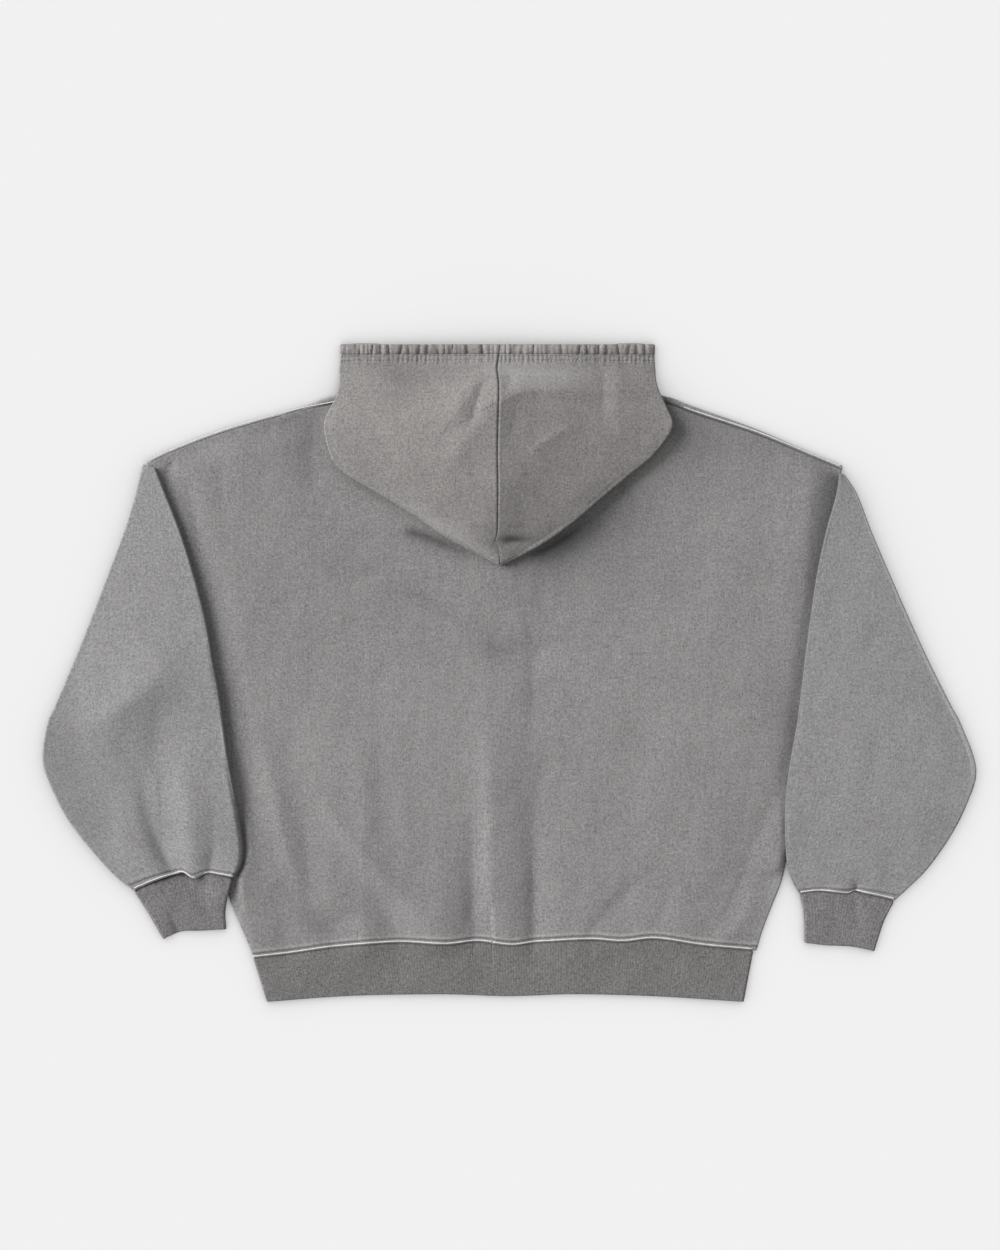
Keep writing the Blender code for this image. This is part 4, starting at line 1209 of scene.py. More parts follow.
def make_back():
    edges = {which: SIDES.column(which)[-1] for which in BOTH}
    lowest = {which: hem_seam(SIDES.column(which)[0]) + EDGE for which in BOTH}
    highest = {which: back_top(edges[which]) for which in BOTH}
    wide, tall = 715.0, 560.0  # across its top and at its middle, for the number of its points
    inset = TURN_INSET[-1]
    near_hem = ((0, 9, 0.6), (9, 16, 1.4))
    near_top = ((tall - 12, tall - 5, 1.5), (tall - 5, tall, 0.6))
    ups = spread(*near_hem, (16, tall - 12, 3.3), *near_top) / tall
    across = spread((0, wide, 3.2)) / wide
    shares = np.linspace(0, 1, 7)[:-1]
    grid = []
    for up in ups:
        left_y, right_y = (mix(lowest[which], highest[which], up) for which in BOTH)
        left_x, right_x = SIDES.at(left_y, "left"), SIDES.at(right_y, "right")
        left_edge, left_z = turned_edge(left_x, left_y, 1, BACK, shares)
        right_edge, right_z = turned_edge(right_x, right_y, -1, BACK, shares)
        inner = mix(left_x + inset, right_x - inset, across)
        x = np.concatenate((left_edge, inner, right_edge[::-1]))
        top_x = mix(edges["left"], edges["right"], (x - left_x) / (right_x - left_x))
        y = mix(hem_seam(x) + EDGE, back_top(top_x), up)
        turn = np.concatenate((left_z, np.full(len(inner), BACK), right_z[::-1])) - BACK
        grid.append(points_of(x, y, turn))
    grid = np.array(grid)
    x, y, turn = np.moveaxis(grid, 2, 0)
    from_hem, from_top = y - hem_seam(x), back_top(x) - y
    at_seam = np.abs(x) > BACK_NECK_HALF
    grid[..., 2] = back_height(x, y) + turn + seam_pinch(from_hem)
    grid[..., 2] += np.where(at_seam, -1.4 * bell(from_top, 1.3), 0)
    # Wear beside the hem seam, and the back's painted shade and painted light
    worn = seam_wear(from_hem) - fold_height(PAINTED_SHADE, x, y)
    # Painted shade in the groove along the shoulder seams
    groove = np.where(x > 0, 1.1 * bell(from_top - 0.2, 1.3), 0.8 * bell(from_top - 0.2, 1.1))
    worn -= np.where(np.abs(x) > BACK_NECK_HALF - 4, groove, 0)
    # Painted light along the back's right side below the sleeve, where it slopes away from the
    # light
    worn += 0.35 * bell(SIDES.at(y, "right") - x - 0.8, 1.8) * (1 - ease(y, 118, 150))
    back = shell("back_panel", grid, "fleece", grid[..., :2] / 1000, worn=worn)
    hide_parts("back")


def front_height(x, y):
    folds = np.maximum(fold_height(FRONT_FOLDS, x, y) + unevenness("front", x, y, 0.25), 0)
    inside = ease(np.abs(x), 300, 270) * ease(y, 66, 100) * ease(front_top(x) - y, 12, 50)
    return FLOOR + front_lift(x, y) + folds * inside * ease(np.abs(x), 22, 50)


# The rows of a front's shoulder edge, rolled over to the seam: degrees turned, and each row's tone,
# which is painted shade below 0 where it turns down to the seam, and a little paler above 0
SHOULDER_ROLL = Table(
    "angle worn_left worn_right",
    (-90, 0, 0),
    (-60, 0, 0),
    (-30, -0.1, 0.05),
    (0, -0.05, 0.05),
    (25, 0, 0.05),
    (50, 0.05, 0.05),
    (70, 0, 0.05),
    (84, -0.2, -0.2),
    (92, -0.6, -0.6),
)


def make_front(which):
    """One front, its shoulder edge rolled over to the seam on the back."""
    out = outward(which)
    tip = abs(SIDES.column(which)[-1])
    inset, tall = TURN_INSET[-1], 490  # tall at the zip, for the number of its points
    low, high = hem_seam(SIDES.column(which)[0]) + EDGE, back_top(out * tip)
    shares = np.linspace(0, 1, 6)[:-1]
    across = spread((tip - inset, 118, 4.5), (118, 98, 1.6), (98, ZIP_EDGE, 4.5))
    grid = []
    for up in spread((0, 6, 1.0), (6, 470, 7.0), (470, tall, 4.0)) / tall:
        edge_y = mix(low, high - 6, up)
        edge_x = SIDES.at(edge_y, which)
        turned_x, turned_z = turned_edge(edge_x, edge_y, -out, FLOOR, shares)
        x = mix(edge_x, out * ZIP_EDGE, (tip - across) / (tip - ZIP_EDGE))
        y = mix(hem_seam(x) + EDGE, front_top(out * across) - inset, up)
        row = points_of(x, y, front_height(x, y))
        grid.append(np.concatenate((points_of(turned_x, edge_y, turned_z), row)))
    bend = (BACK - FLOOR) / 2
    at = np.concatenate((tip - np.interp(shares, TURN, TURN_INSET), across))
    x = out * at
    rolled = ease(at, NECK_HALF - 2, NECK_HALF + 7)
    for angle in SHOULDER_ROLL.column("angle"):
        turn = math.radians(min(angle, 90))
        back_off = 1 + bend * (1 - math.cos(turn))
        if angle > 72:
            back_off = mix(back_off, roll(x) - EDGE, (angle - 72) / 20)
        over = FLOOR + bend * (1 + math.sin(turn)) - 0.9 * ease(angle, 80, 92)
        flat_off = inset * (90 - min(angle, 90)) / 180
        y = front_top(x) - mix(flat_off, back_off, rolled)
        grid.append(points_of(x, y, mix(FLOOR + front_lift(x, y), over, rolled)))
    grid = np.array(grid)
    worn = np.zeros(grid.shape[:2])
    # Painted shade on the rolled shoulder edge
    worn[-len(SHOULDER_ROLL.rows) :] = SHOULDER_ROLL.column(f"worn_{which}")[:, None] * rolled
    grain = grid[..., :2] / 1000
    front = shell(f"front_panel_{which}", grid, "fleece", grain, worn=worn)
    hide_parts(f"front_{which}")


# The sleeves and cuffs


# How many times as tall as the frame's a sleeve's inner and outer folds are at the shoulder
INNER_FOLD_AT_TOP = 1.8
OUTER_FOLD_AT_TOP = 1.4
INNER_TAPER = 0.985  # where across a sleeve its folds begin to fade towards the inner fold
SLEEVE_PAINTED_LIGHT = {"left": 0.0, "right": 0.035}  # how much painted light pales the sleeves' upper parts
OUTER_FOLD_PAINTED_SHADE_AND_LIGHT = {"left": -0.05, "right": 0.24}  # and the painted shade on the left sleeve's lit outer fold, and painted light on the right one's
BENEATH = 9  # points across the under side of a sleeve
BENEATH_BOW = 0.2  # how much of its top's bow the under side of a sleeve or cuff has


def sleeve_section(which, row):
    """A section of the sleeve from the front armhole seam, out along the surface, back over the top
    to the inner fold, and under that to the back armhole seam. Then the numbers of the points where
    its top begins and ends."""
    value = SLEEVES[which].values(row)
    out = outward(which)
    outer, inner = value["outer_x"], value["inner_x"]
    radius, under, lap = value["fold"], value["under"], value["lap"]
    near_cuff = ease(row, 12.4, 14)

    def height_at(x, bow):
        share = (x - outer) / (inner - outer)
        line = mix(value["outer_y"], value["inner_y"], share)
        share = np.clip(share, 0, 1)
        stray = CUFF_SEAM[which].at(share, "stray") * near_cuff * (bow > 1.5)
        return line + bow * np.sin(math.pi * share) + stray

    bow = value["bow"]
    low_bow = BENEATH_BOW * bow
    edge = float(SIDES.at(height_at(np.array(mix(outer, inner, 0.85)), bow), which))
    beside = max(out * edge + 15, out * inner + 12) * out
    seam = mix(edge - out, beside, under)
    seam_z = mix(FLOOR, mix(ON_BACK, FLOOR, ease(under, 0.3, 1)), lap)
    low = mix(FLOOR, ON_BACK, lap)
    inner_tall = mix(mix(INNER_FOLD_AT_TOP, 1.1, ease(row, 3, 9)), 0.75, ease(row, 10, 12))
    tall_inside = 2 * radius * inner_tall
    tall = 2 * radius * mix(OUTER_FOLD_AT_TOP, 1.0, ease(row, 3, 8))
    outer_corner, inner_corner = min(1.1, radius), min(0.8, radius)
    outer_end, inner_end = outer - out * (1 + outer_corner), inner + out * (1 + inner_corner)
    corner = edge + out * mix(-6, 1.5, under)
    corner = out * max(out * corner, out * inner_end + 1)
    loft = 1.2 * ease(row, 1.5, 6) * (1 - 0.3 * ease(row, 12.5, 14))

    share = spread((0, 0.06, 0.006), (0.06, 0.94, 0.0118), (0.94, 1, 0.006))
    x = mix(outer_end, inner_end, share)
    base = mix(low, FLOOR, np.clip(out * (x - inner) / max(130, out * (outer - inner)), 0, 1))
    puff = loft * np.sin(math.pi * share)
    top = points_of(x, height_at(x, bow), base + mix(tall, tall_inside, share) + puff)
    folds = fold_height(SLEEVE_FOLDS[which], x, top[:, 1])
    folds += unevenness("sleeve", x, top[:, 1], 0.14)
    top[:, 2] += folds * ease(share, 0, 0.18) * ease(share, 1, INNER_TAPER) * ease(row, 0.5, 3)

    beneath_x = np.linspace(seam + out * 0.3, outer_end, BENEATH)
    beneath = points_of(beneath_x, height_at(beneath_x, low_bow), FLOOR)
    outer_profile = folded_edge(FLOOR, top[0, 2], outer_corner)
    inner_profile = folded_edge(low, top[-1, 2], inner_corner)[::-1]
    outer_fold = side_fold((outer, value["outer_y"]), out, outer_profile)
    inner_fold = side_fold((inner, value["inner_y"]), -out, inner_profile)
    tail_x = np.array((inner_end, corner, seam - out * 2, seam))
    tail = points_of(tail_x, height_at(tail_x, low_bow), (low, low, seam_z, seam_z))
    points = np.concatenate((beneath, outer_fold, top, inner_fold, tail))
    first = BENEATH + FOLD_POINTS
    return points, first, first + len(top)


def sleeve_surface_path(which, row):
    """A path on top of the sleeve along one of its rows."""
    points, first, last = sleeve_section(which, row)
    return points[first:last] + (0, 0, CLOTH / 2)


def make_sleeve(which):
    rows = spread((0, 13, 0.1), (13, 13.5, 0.07), (13.5, 14, 0.03))
    sections = [sleeve_section(which, row) for row in rows]
    _, first, last = sections[0]
    grid = np.array([points for points, *_ in sections])
    top = np.s_[:, first:last]
    centre = (first + last) // 2
    grain = cloth_grain(grid, centre)
    to_cuff = (grain[-1, centre, 1] - grain[..., 1])[top] * 1000 + 0.3
    grid[top][..., 2] += seam_pinch(to_cuff, 0.1)
    worn = np.zeros(grid.shape[:2])
    x, y = grid[top][..., 0], grid[top][..., 1]
    # Painted light on the sleeves' upper parts
    upper_painted_light = SLEEVE_PAINTED_LIGHT[which] * ease(y, 180, 460)
    # Wear beside the cuff seam, and the sleeve's painted shade and painted light
    worn[top] = seam_wear(to_cuff, 0.08) + upper_painted_light - fold_height(SLEEVE_PAINTED_SHADE[which], x, y)
    outer = np.s_[:, first - FOLD_POINTS : first + 4]
    # Painted shade on the left outer fold, painted light on the right one
    worn[outer] += OUTER_FOLD_PAINTED_SHADE_AND_LIGHT[which] * ease(grid[outer][..., 1], 190, 270)
    # Painted shade on the inner fold's wall, which faces the light
    worn[:, last : last + FOLD_POINTS] -= 0.5
    sleeve = shell(f"sleeve_shell_{which}", grid, "sleeve", grain, worn=worn)
    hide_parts(f"sleeve_{which}")


CUFF_POINTS = 110  # across each layer of a cuff
CUFF_LEVEL = (6.4, 5.6)  # heights of a cuff's upper layer at its seam and past it
RIB_CORNER = 1.4  # radius of the corners of a rib's folded edges
RIB_INSET = 2.5  # from a rib's outline to the flat part of its layers


def cuff_section(which, row):
    """A ring round the cuff, from beside its outer fold along the surface and back over the top."""
    value = CUFFS[which].values(row)
    out = outward(which)
    outer_x, inner_x = value["outer_x"], value["inner_x"]
    near_seam = 1 - ease(row, 0, 0.7)
    high = mix(*CUFF_LEVEL, ease(row, 0, 1))

    def layer(share_of_bow, level, stray):
        x = np.linspace(outer_x - out * RIB_INSET, inner_x + out * RIB_INSET, CUFF_POINTS)
        along = (x - outer_x) / (inner_x - outer_x)
        y = mix(value["outer_y"], value["inner_y"], along)
        y = y + share_of_bow * value["bow"] * np.sin(math.pi * along)
        y = y + stray * CUFF_SEAM[which].at(along, "stray") * near_seam
        return points_of(x, y + CUFF_END[which].at(along, "stray") * ease(row, 1, 3), level)

    profile = folded_edge(RIB / 2, high, RIB_CORNER)
    beneath, over = layer(BENEATH_BOW, RIB / 2, 0), layer(1, high, 1)[::-1]
    inner_fold = side_fold((inner_x, value["inner_y"]), -out, profile)
    outer_fold = side_fold((outer_x, value["outer_y"]), out, profile[::-1])
    ring = np.concatenate((beneath, inner_fold, over, outer_fold))
    ring[:, 2] += value["lift"] * ease(out * (outer_x - ring[:, 0]), 50, 85)
    return ring


FURROW = 0.13  # how deep the furrows between the ribs are
RIB_SEAM_DIP = 1.3  # and how far the ribs dip at their seam
RIB_SEAM_PAINTED_SHADE = 0.9  # how much painted shade darkens them there


def rib_relief(grain, dip):
    """How far a rib's surface lies in: at the furrows, by how far round it they are, and at its
    seam, by a share of the dip."""
    furrows = 0.5 - 0.5 * np.cos(2 * math.pi * grain[..., 0] * 1000 / RIB_PITCH)
    return -(FURROW * furrows + RIB_SEAM_DIP * dip)


def make_cuff(which):
    rows = spread((0, 0.12, 0.03), (0.12, 2.8, 0.14), (2.8, 3, 0.05))
    grid = np.array([cuff_section(which, row) for row in rows])
    columns = grid.shape[1]
    grain = cloth_grain(grid, columns // 2)
    turns = round(float(np.ptp(grain[len(rows) // 2, :, 0])) * 1000 / RIB_PITCH)
    grain[..., 0] = np.linspace(0, turns * RIB_PITCH / 1000, columns, endpoint=False)
    down = grain[..., 1] * 1000
    relief = rib_relief(grain, bell(down, 1.5))
    grid += normals_of(grid, ring=True) * -outward(which) * relief[..., None]
    over = grid[:, CUFF_POINTS + FOLD_POINTS : 2 * CUFF_POINTS + FOLD_POINTS]
    x, y = over[..., 0], over[..., 1]
    over[..., 2] += unevenness("cuff", x, y) + fold_height(CUFF_FOLDS[which], x, y)
    # Painted shade in the groove of the cuff's seam
    worn = -RIB_SEAM_PAINTED_SHADE * bell(down - 0.3, 1.5)
    cuff = shell(
        f"cuff_rib_{which}", grid, "cuff", grain, RIB, worn, ring=True, free=("last",)
    )
    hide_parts(f"cuff_{which}")


HEM_BENEATH = 290  # how many points run round the hem under each front, and behind
HEM_BEHIND = 760


def make_hem_band():
    """The hem's doubled rib in one piece round the fronts and the back, open at the zip."""
    ends = [(HEM_EDGE.column("across")[end], HEM_SEAM.column("across")[end]) for end in (0, -1)]
    low, high = RIB / 2, BACK
    turn, turn_z = folded_edge(low, high, RIB_CORNER).T
    beneath, behind = np.full(HEM_BENEATH, low), np.full(HEM_BEHIND, high)
    level = np.concatenate((beneath, turn_z, behind, turn_z[::-1], beneath))
    at_zip, at_side = ZIP_EDGE + 0.3, RIB_INSET + 0.1
    grid = []
    for up in spread((0, 3, 0.8), (3, 45, 3.5), (45, 50, 0.6)) / 50:
        left, right = (mix(*pair, up) for pair in ends)
        front_left = np.linspace(-at_zip, left + at_side, HEM_BENEATH)
        front_right = np.linspace(right - at_side, at_zip, HEM_BENEATH)
        back = np.linspace(left + RIB_INSET, right - RIB_INSET, HEM_BEHIND)
        x = np.concatenate((front_left, left + turn, back, (right - turn)[::-1], front_right))
        inside = np.clip(x, left, right)
        y = mix(HEM_EDGE.at(inside, "height") + RIB / 2, hem_seam(inside) - EDGE, up)
        grid.append(points_of(x, y, level))
    grid = np.array(grid)
    x, y, level = np.moveaxis(grid, 2, 0)
    below = hem_seam(x) - y
    lifted = (back_height(x, hem_seam(x) + 8) - BACK) * np.exp(-np.maximum(below, 0) / 12)
    grain = cloth_grain(grid, grid.shape[1] // 2)
    grain[..., 0] = grain[len(grid) // 2, :, 0].copy()
    grain[..., 1] = -below / 1000
    normals = normals_of(grid)
    uneven = unevenness("hem", x, y, 0.25) * ease(below, 0, 12)
    grid[..., 2] += (lifted + uneven) * ease(level, 3, high)
    grid += normals * rib_relief(grain, bell(below, 1.6))[..., None]
    # Painted shade in the groove of the hem's seam
    worn = -RIB_SEAM_PAINTED_SHADE * bell(below - 0.4, 1.5)
    free = ("first", "start", "end")
    band = shell("hem_rib", grid, "rib", grain, RIB, worn, free=free)
    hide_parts("hem_band")


# The hood


HOOD_EDGE_LIFT = {"left": 1.35, "right": 1.5}  # how many times as tall as the frame's
HOOD_BENEATH = 15  # points across the under side of a hood half
HOOD_FIRST = HOOD_BENEATH + FOLD_POINTS  # the first point on top
HOOD_CORNER = 0.8  # radius of the corners of its fold


def hood_section(which, line):
    """A line of a hood half: from the neckline over the body to the outline, turned over there, and
    back along the top to the centre seam, with how far each point on top is from that seam."""
    value = HOOD.values(line)
    out = outward(which)
    gap = out * EDGE
    start = np.array((out * value["neck_x"], value["neck_y"]))
    outline = np.array((value[f"{which}_x"], value[f"{which}_y"]))
    crown = np.array((CROWN_LINE.at(value["crown_y"], "across") + gap, value["crown_y"]))
    middle = np.array((out * value["middle_x"], value["middle_y"]))
    first = max(0.0, 1 - line)
    start, middle, outline = (point + (gap * first, 0) for point in (start, middle, outline))
    ways = [(outline - point) / np.linalg.norm(outline - point) for point in (middle, crown)]
    heading = sum(ways)
    heading = mix(heading / np.linalg.norm(heading), np.array((0, -1.0)), first)
    heading /= np.linalg.norm(heading)
    turn = outline - heading * (HOOD_CORNER + CLOTH / 2)
    low = value["outline_z"]
    on_back = ease(value["middle_z"], 3, 7)
    taller = mix(1, HOOD_EDGE_LIFT[which], plateau(line, 0.8, 3.4, 7.5, 9))
    high = low + 2 * value["fold"] * taller

    shares = np.linspace(0, 1, HOOD_BENEATH)
    bulge = 2 * shares * (1 - shares)
    bend_z = 2 * value["middle_z"] - value["neck_z"] - low
    under = mix(start, turn, shares[:, None]) + (2 * middle - start - turn) * bulge[:, None]
    x, y = under.T
    near = np.max([swell(x, y + off) for off in (-12, 0, 12)], axis=0)
    under_z = mix(value["neck_z"], low, shares) + bend_z * bulge
    under = points_of(x, y, under_z + mix(front_lift(x, y), near, on_back))

    profile = folded_edge(low, high, HOOD_CORNER)
    lift = swell(*turn) * on_back
    edge = np.column_stack((outline - heading * profile[:, :1], profile[:, 1] + lift))

    shares = spread((0, 6, 0.8), (6, 150, 0.98), (150, 160, 0.5)) / 160
    x, y = mix(turn, crown, shares[:, None]).T
    rise = 0.72 * shares + 0.28 * np.sin(math.pi / 2 * shares)
    top_z = mix(high + lift, max(value["crown_z"] + 1, high + lift + 0.4), rise)
    folds = fold_height(HOOD_FOLDS, x, y) + unevenness("hood", x, y, 0.3)
    folds *= ease(shares, 0, 0.06) * ease(y, 688, 664)
    to_seam = (1 - shares) * np.linalg.norm(crown - turn)
    groove = -2.6 * bell(to_seam, 0.8) + 0.12 * bell(to_seam - 2.4, 1.2)
    top = points_of(x, y, top_z + folds + groove)
    return np.concatenate((under, edge, top)), to_seam


CASING_STITCH = 676.2  # height of the upper row of the casing's stitching
CASING_ROWS_APART = 4.4


def gather(x, y):
    """The puckers of the hood's gathered casing: a pinch at each tuck and a puff between them."""
    pinch = np.zeros(np.broadcast(x, y).shape)
    above = y - CASING_STITCH
    for n, tuck in enumerate(TUCKS.named()):
        lean = above * 0.25 * math.sin(2.4 * n)
        off = np.abs(x - tuck["across"] - lean)
        sharp = 1.0 + 1.1 * math.sin(5.1 * n) ** 2
        dip = 1.1 * np.exp(1 - np.hypot(off / sharp, 1))
        pinch -= tuck["depth"] * (dip - 0.35 * bell(off - 4, 2.4))
    in_casing = ease(above, 0.5, 4.5)
    below = plateau(y, 664, 673, 673, CASING_STITCH + 1)
    stitched, small = (
        sum(bell(above + off, wide) for off in (0, CASING_ROWS_APART)) for wide in (0.8, 2.2)
    )
    small = small * np.sin(x * 2 * math.pi / 4.7 + 1.1 * np.sin(x / 11))
    puff = 1.1 * bell(above - 8, 4.2) - 1.1 * bell(above - 3.1, 0.9)
    crimps = 0.55 * np.sin(x * 2 * math.pi / 5.2 + 2.4 * np.sin(x / 7.3))
    pinch = (pinch + crimps * (0.6 + 0.4 * np.sin(x / 13))) * (in_casing + 0.3 * below)
    return pinch + puff - 0.6 * stitched + small * (0.3 + 0.2 * np.sin(x / 19))


def make_hood(which):
    """One half of the hood, its face edge turned in and gathered on its casing."""
    neck, face = ((0, 0.5, 0.05), (0.5, 11, 0.1)), ((11.8, 12.9, 0.045), (12.9, 13, 0.03))
    lines = spread(*neck, (11, 11.8, 0.06), *face)
    sections = [hood_section(which, line) for line in lines]
    grid = np.array([points for points, _ in sections])
    to_seam = np.array([distance for _, distance in sections])
    top = grid[:, HOOD_FIRST:]
    x, y = top[..., 0], top[..., 1]
    puckers = gather(x, y) * ease(np.abs(x), 170, 163)
    top[..., 2] += puckers
    grain = cloth_grain(grid, grid.shape[1] - 1)
    grain[..., 1] = grid[..., 1] / 1000
    # Puffs of the casing paler with wear, its tucks darker with painted shade, and painted shade in
    # the dip beside the casing
    hood_wear_and_shade = np.clip(puckers, -2.5, 1.0) * 0.16 - 0.25 * bell(y - 679.3, 0.8)
    # The hood's painted shade and painted light, and painted shade in the centre seam's groove
    hood_wear_and_shade -= fold_height(HOOD_PAINTED_SHADE, x, y) + bell(to_seam, 0.75 + 0.45 * ease(y, 615, 655))
    if which == "right":
        # Painted highlight on the seam's right lip, and a painted shadow in the pocket near the tip
        hood_wear_and_shade += 0.06 * bell(to_seam - 1.7, 0.7) - 0.85 * bell(x - 13, 17) * bell(y - 485.5, 4.5)
    worn = np.zeros(grid.shape[:2])
    worn[:, HOOD_FIRST:] = hood_wear_and_shade
    thick = mix(CLOTH, 3.2, ease(lines, 11.9, 12.2))[:, None]
    finish = f"hood_{which}"
    hood = shell(
        f"hood_shell_{which}", grid, finish, grain, thick, worn, free=("last",)
    )
    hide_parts(f"hood_{which}")


def casing_path(which, height):
    """A path on top of the hood along one row of the casing's stitching."""
    points, _ = hood_section(which, np.interp(height, (664, 678, 689), (11, 12, 13)))
    path = points[HOOD_FIRST:][3:-3]
    path[:, 2] += gather(path[:, 0], path[:, 1]) + 1.2
    return path


# Seams and stitches


WELT_SUNK = 0.35  # how deep the cuffs' and shoulders' worn edges lie
HEM_STITCHED = (-258, 266)  # from where to where the hem's seam shows


def hem_path(offset):
    """A path on the back beside the hem's seam."""
    x = np.linspace(*HEM_STITCHED, 420)
    y = hem_seam(x) + offset
    return points_of(x, y, back_height(x, y) + CLOTH / 2)


def shoulder_path(which, offset):
    """A path beside a shoulder seam, on the curve of the rolled edge."""
    x = outward(which) * np.linspace(BACK_NECK_HALF, abs(SIDES.column(which)[-1]) - 3, 160)
    radius = (BACK - FLOOR + CLOTH) / 2
    inside = np.maximum(radius - roll(x) + offset, 0)
    level = BACK + CLOTH / 2 - radius + np.sqrt(np.maximum(radius**2 - inside**2, 0))
    return points_of(x, outline_top(x) - roll(x) + offset, level)


def lowered(path, by):
    """A path that lies deeper in the cloth by so much."""
    return path - np.array((0, 0, 1.0)) * np.reshape(by, (-1, 1))


SHOULDER_WELT = {"left": 1.3, "right": 1.7}  # the widths of the shoulder seams' worn edges
SHOULDER_WELT_OFFSET = {"left": 1.5, "right": 2.2}  # and how far outside the seams they lie
CUFF_STITCHED = {"left": 13.72, "right": 13.68}  # the rows of the sleeves with the cuffs' stitches


def sew():
    """The seams' rubbed edges and their stitching."""
    welt("hem_seam_edge", lowered(hem_path(WELT_AT), 0.3), 1.7)
    for which in BOTH:
        edge = sleeve_surface_path(which, 13.9)
        sunk = 1.4 * bell(edge[:, 0] + 314, 4) if which == "left" else 0
        welt(f"cuff_seam_edge_{which}", lowered(edge, WELT_SUNK + sunk), 1.7)
        edge = shoulder_path(which, SHOULDER_WELT_OFFSET[which])
        sunk = 1.3 * (1 - ease(edge[:, 0], 182, 202)) if which == "right" else 0
        welt(f"shoulder_seam_edge_{which}", lowered(edge, WELT_SUNK + sunk), SHOULDER_WELT[which])
    stitch_rows("hem_stitches", [lowered(hem_path(STITCHED_AT), 0.6)])
    cuffs = [lowered(sleeve_surface_path(which, CUFF_STITCHED[which]), 0.45) for which in BOTH]
    stitch_rows("cuff_stitches", cuffs)
    stitch_rows("shoulder_stitches", [shoulder_path(which, -0.4) for which in BOTH])
    heights = (CASING_STITCH, CASING_STITCH - CASING_ROWS_APART)
    casing = [casing_path(which, height) for which in BOTH for height in heights]
    sizes = {"long": 2.2, "gap": 1.2, "thick": 0.7, "sunk": 0.0}
    stitch_rows("casing_stitches", casing, **sizes, finish="pale_thread")


# The zip


TOOTH_PITCH = 2.1


def select_faces(piece, heading):
    """Selects the faces of a piece that face one way, and nothing else of it."""
    mesh = piece.data
    for part in (*mesh.vertices, *mesh.edges):
        part.select = False
    for face in mesh.polygons:
        face.select = face.normal.dot(Vector(heading)) > 0.9
    bpy.context.tool_settings.mesh_select_mode = (False, False, True)


def model_tooth():
    """One tooth, pointing to -x: a block whose head narrows to a bevelled nose."""
    bpy.ops.object.select_all(action="DESELECT")
    bpy.ops.mesh.primitive_cube_add(size=0.001, location=(0.0016, 0, 0))
    tooth = bpy.context.active_object
    bpy.ops.object.transform_apply(location=True)
    bpy.ops.object.mode_set(mode="EDIT")
    bpy.ops.transform.resize(value=(2.2, 0.9, 1.8))
    bpy.ops.object.mode_set(mode="OBJECT")
    select_faces(tooth, (-1, 0, 0))
    bpy.ops.object.mode_set(mode="EDIT")
    for reach, narrower in ((0.0009, (1, 0.62, 0.8)), (0.0003, (1, 0.6, 0.7))):
        bpy.ops.mesh.extrude_region_move(TRANSFORM_OT_translate={"value": (-reach, 0, 0)})
        bpy.ops.transform.resize(value=narrower)
    bpy.ops.object.mode_set(mode="OBJECT")
    return tooth


def make_teeth():
    """The closed chain: two rows of teeth that lock between each other."""
    foot, head = ZIP_FOOT + 8.6, HINGE_Y - 6
    places = []
    for n in range(2 * int((head - foot) / TOOTH_PITCH)):
        out = 1 if n % 2 else -1
        y = foot + n * TOOTH_PITCH / 2
        middle = np.array((0, y, CHAIN_LEVEL + float(front_lift(0, y))))
        places.append((middle, (out, 0, 0), (0, out, 0), (0, 0, 1)))
    teeth = copies("zip_teeth", model_tooth(), places, "metal")
    teeth.data.shade_flat()
    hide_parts("zip_chain")


def dress_zip():
    """Finishes for the frame's own zip pieces, whose shapes stay."""
    for name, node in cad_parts.items():
        if name.startswith("zip_"):
            finish = "tape" if name.startswith("zip_tape") else "metal"
            for slot in node.material_slots:
                slot.material = FINISHES[finish]


# Light, floor and camera


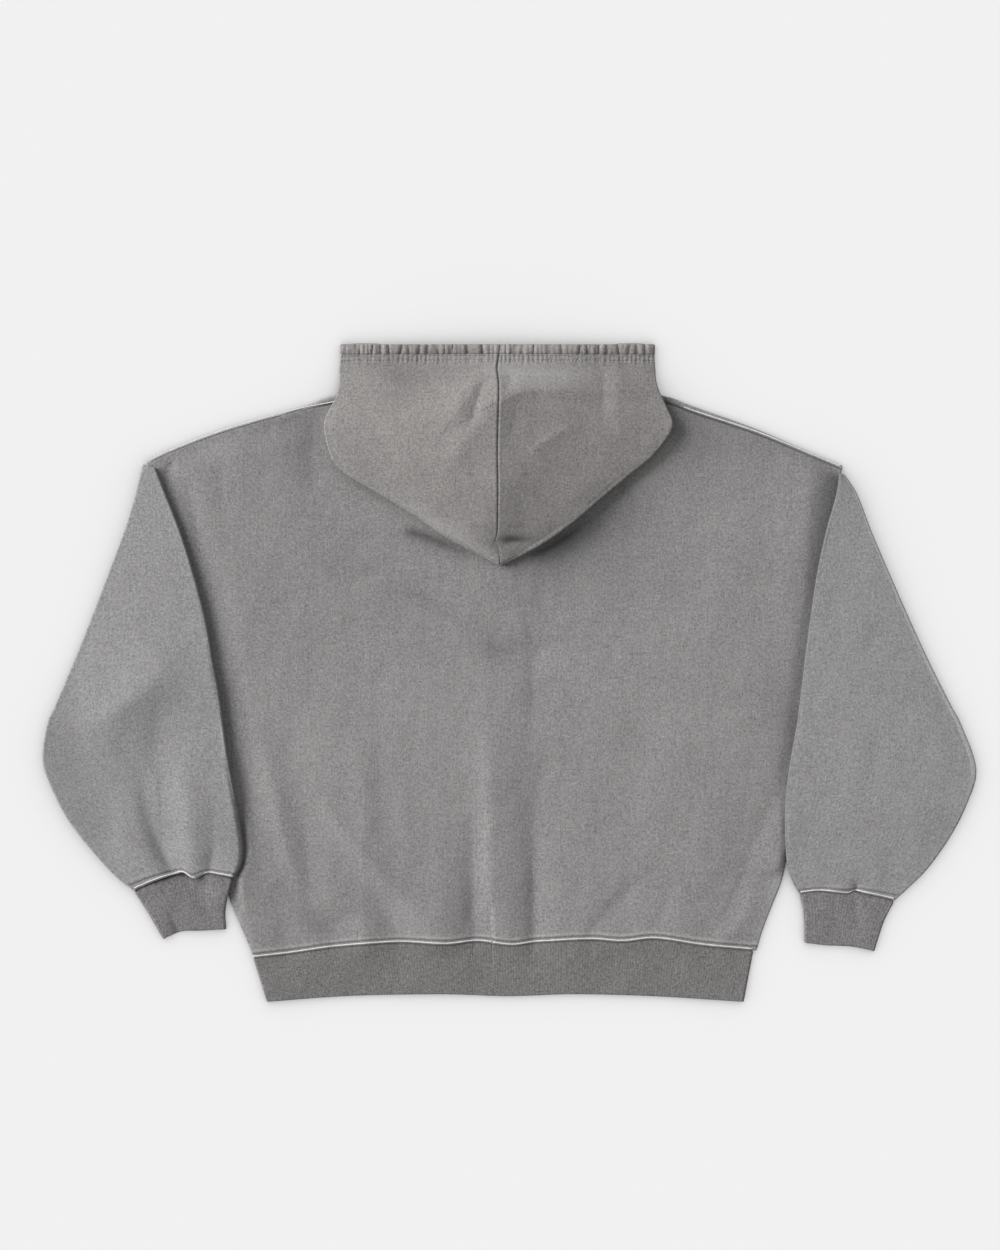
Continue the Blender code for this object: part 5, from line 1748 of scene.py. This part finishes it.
STUDIO = 0.37  # strength of the light from all round
FLOOR_WIDE = 12  # metres
FLOOR_BELOW = 0.0002  # metres that the floor lies below the garment
LENS = 135
VIEW_TALL = 1.3125  # metres that the picture is tall
VIEW_MIDDLE = (-0.00995, 0.0503)


def add_light(name, heading, elevation, spread_angle, strength):
    """A distant soft light, by the way to it across the picture and its height in degrees."""
    light = bpy.data.lights.new(name, "SUN")
    light.energy = strength
    light.angle = math.radians(spread_angle)
    holder = in_scene(name, light)
    rise = math.radians(elevation)
    way = Vector((heading[0] * math.cos(rise), heading[1] * math.cos(rise), math.sin(rise)))
    holder.rotation_euler = way.to_track_quat("Z", "Y").to_euler()
    return holder


def make_stage():
    """The floor and the light. The window's light leaves the floor out, and another light falls on
    the floor alone, so that it stays evenly pale."""
    bpy.ops.object.select_all(action="DESELECT")
    bpy.ops.mesh.primitive_plane_add(size=FLOOR_WIDE, location=(0, 0, -FLOOR_BELOW))
    floor = bpy.context.active_object
    floor.name = "pale_floor"
    floor.data.materials.append(floor_material())
    scene = bpy.context.scene
    scene.view_settings.view_transform = "Standard"
    scene.world = bpy.data.worlds.new("studio")
    scene.world.use_nodes = True
    background = scene.world.node_tree.nodes["Background"]
    background.inputs["Color"].default_value = (1.0, 1.0, 1.0, 1)
    background.inputs["Strength"].default_value = STUDIO
    window = add_light("window", heading=(-0.93, 0.37), elevation=30, spread_angle=50, strength=4.5)
    overhead = add_light("overhead", heading=(0, 0), elevation=90, spread_angle=172, strength=2.30)
    for light, state in ((window, "EXCLUDE"), (overhead, "INCLUDE")):
        receivers = bpy.data.collections.new(f"{light.name}_receivers")
        receivers.objects.link(floor)
        light.light_linking.receiver_collection = receivers
        receivers.collection_objects[0].light_linking.link_state = state


def make_camera():
    """The camera, straight above."""
    camera = bpy.data.cameras.new("camera")
    camera.lens = LENS
    camera.clip_end = 50
    holder = in_scene("camera", camera)
    holder.location = (*VIEW_MIDDLE, VIEW_TALL * LENS / camera.sensor_width)
    bpy.context.scene.camera = holder


make_stage()
make_camera()
make_back()
make_hem_band()
for side in BOTH:
    make_front(side)
    make_sleeve(side)
    make_cuff(side)
    make_hood(side)
sew()
make_teeth()
dress_zip()
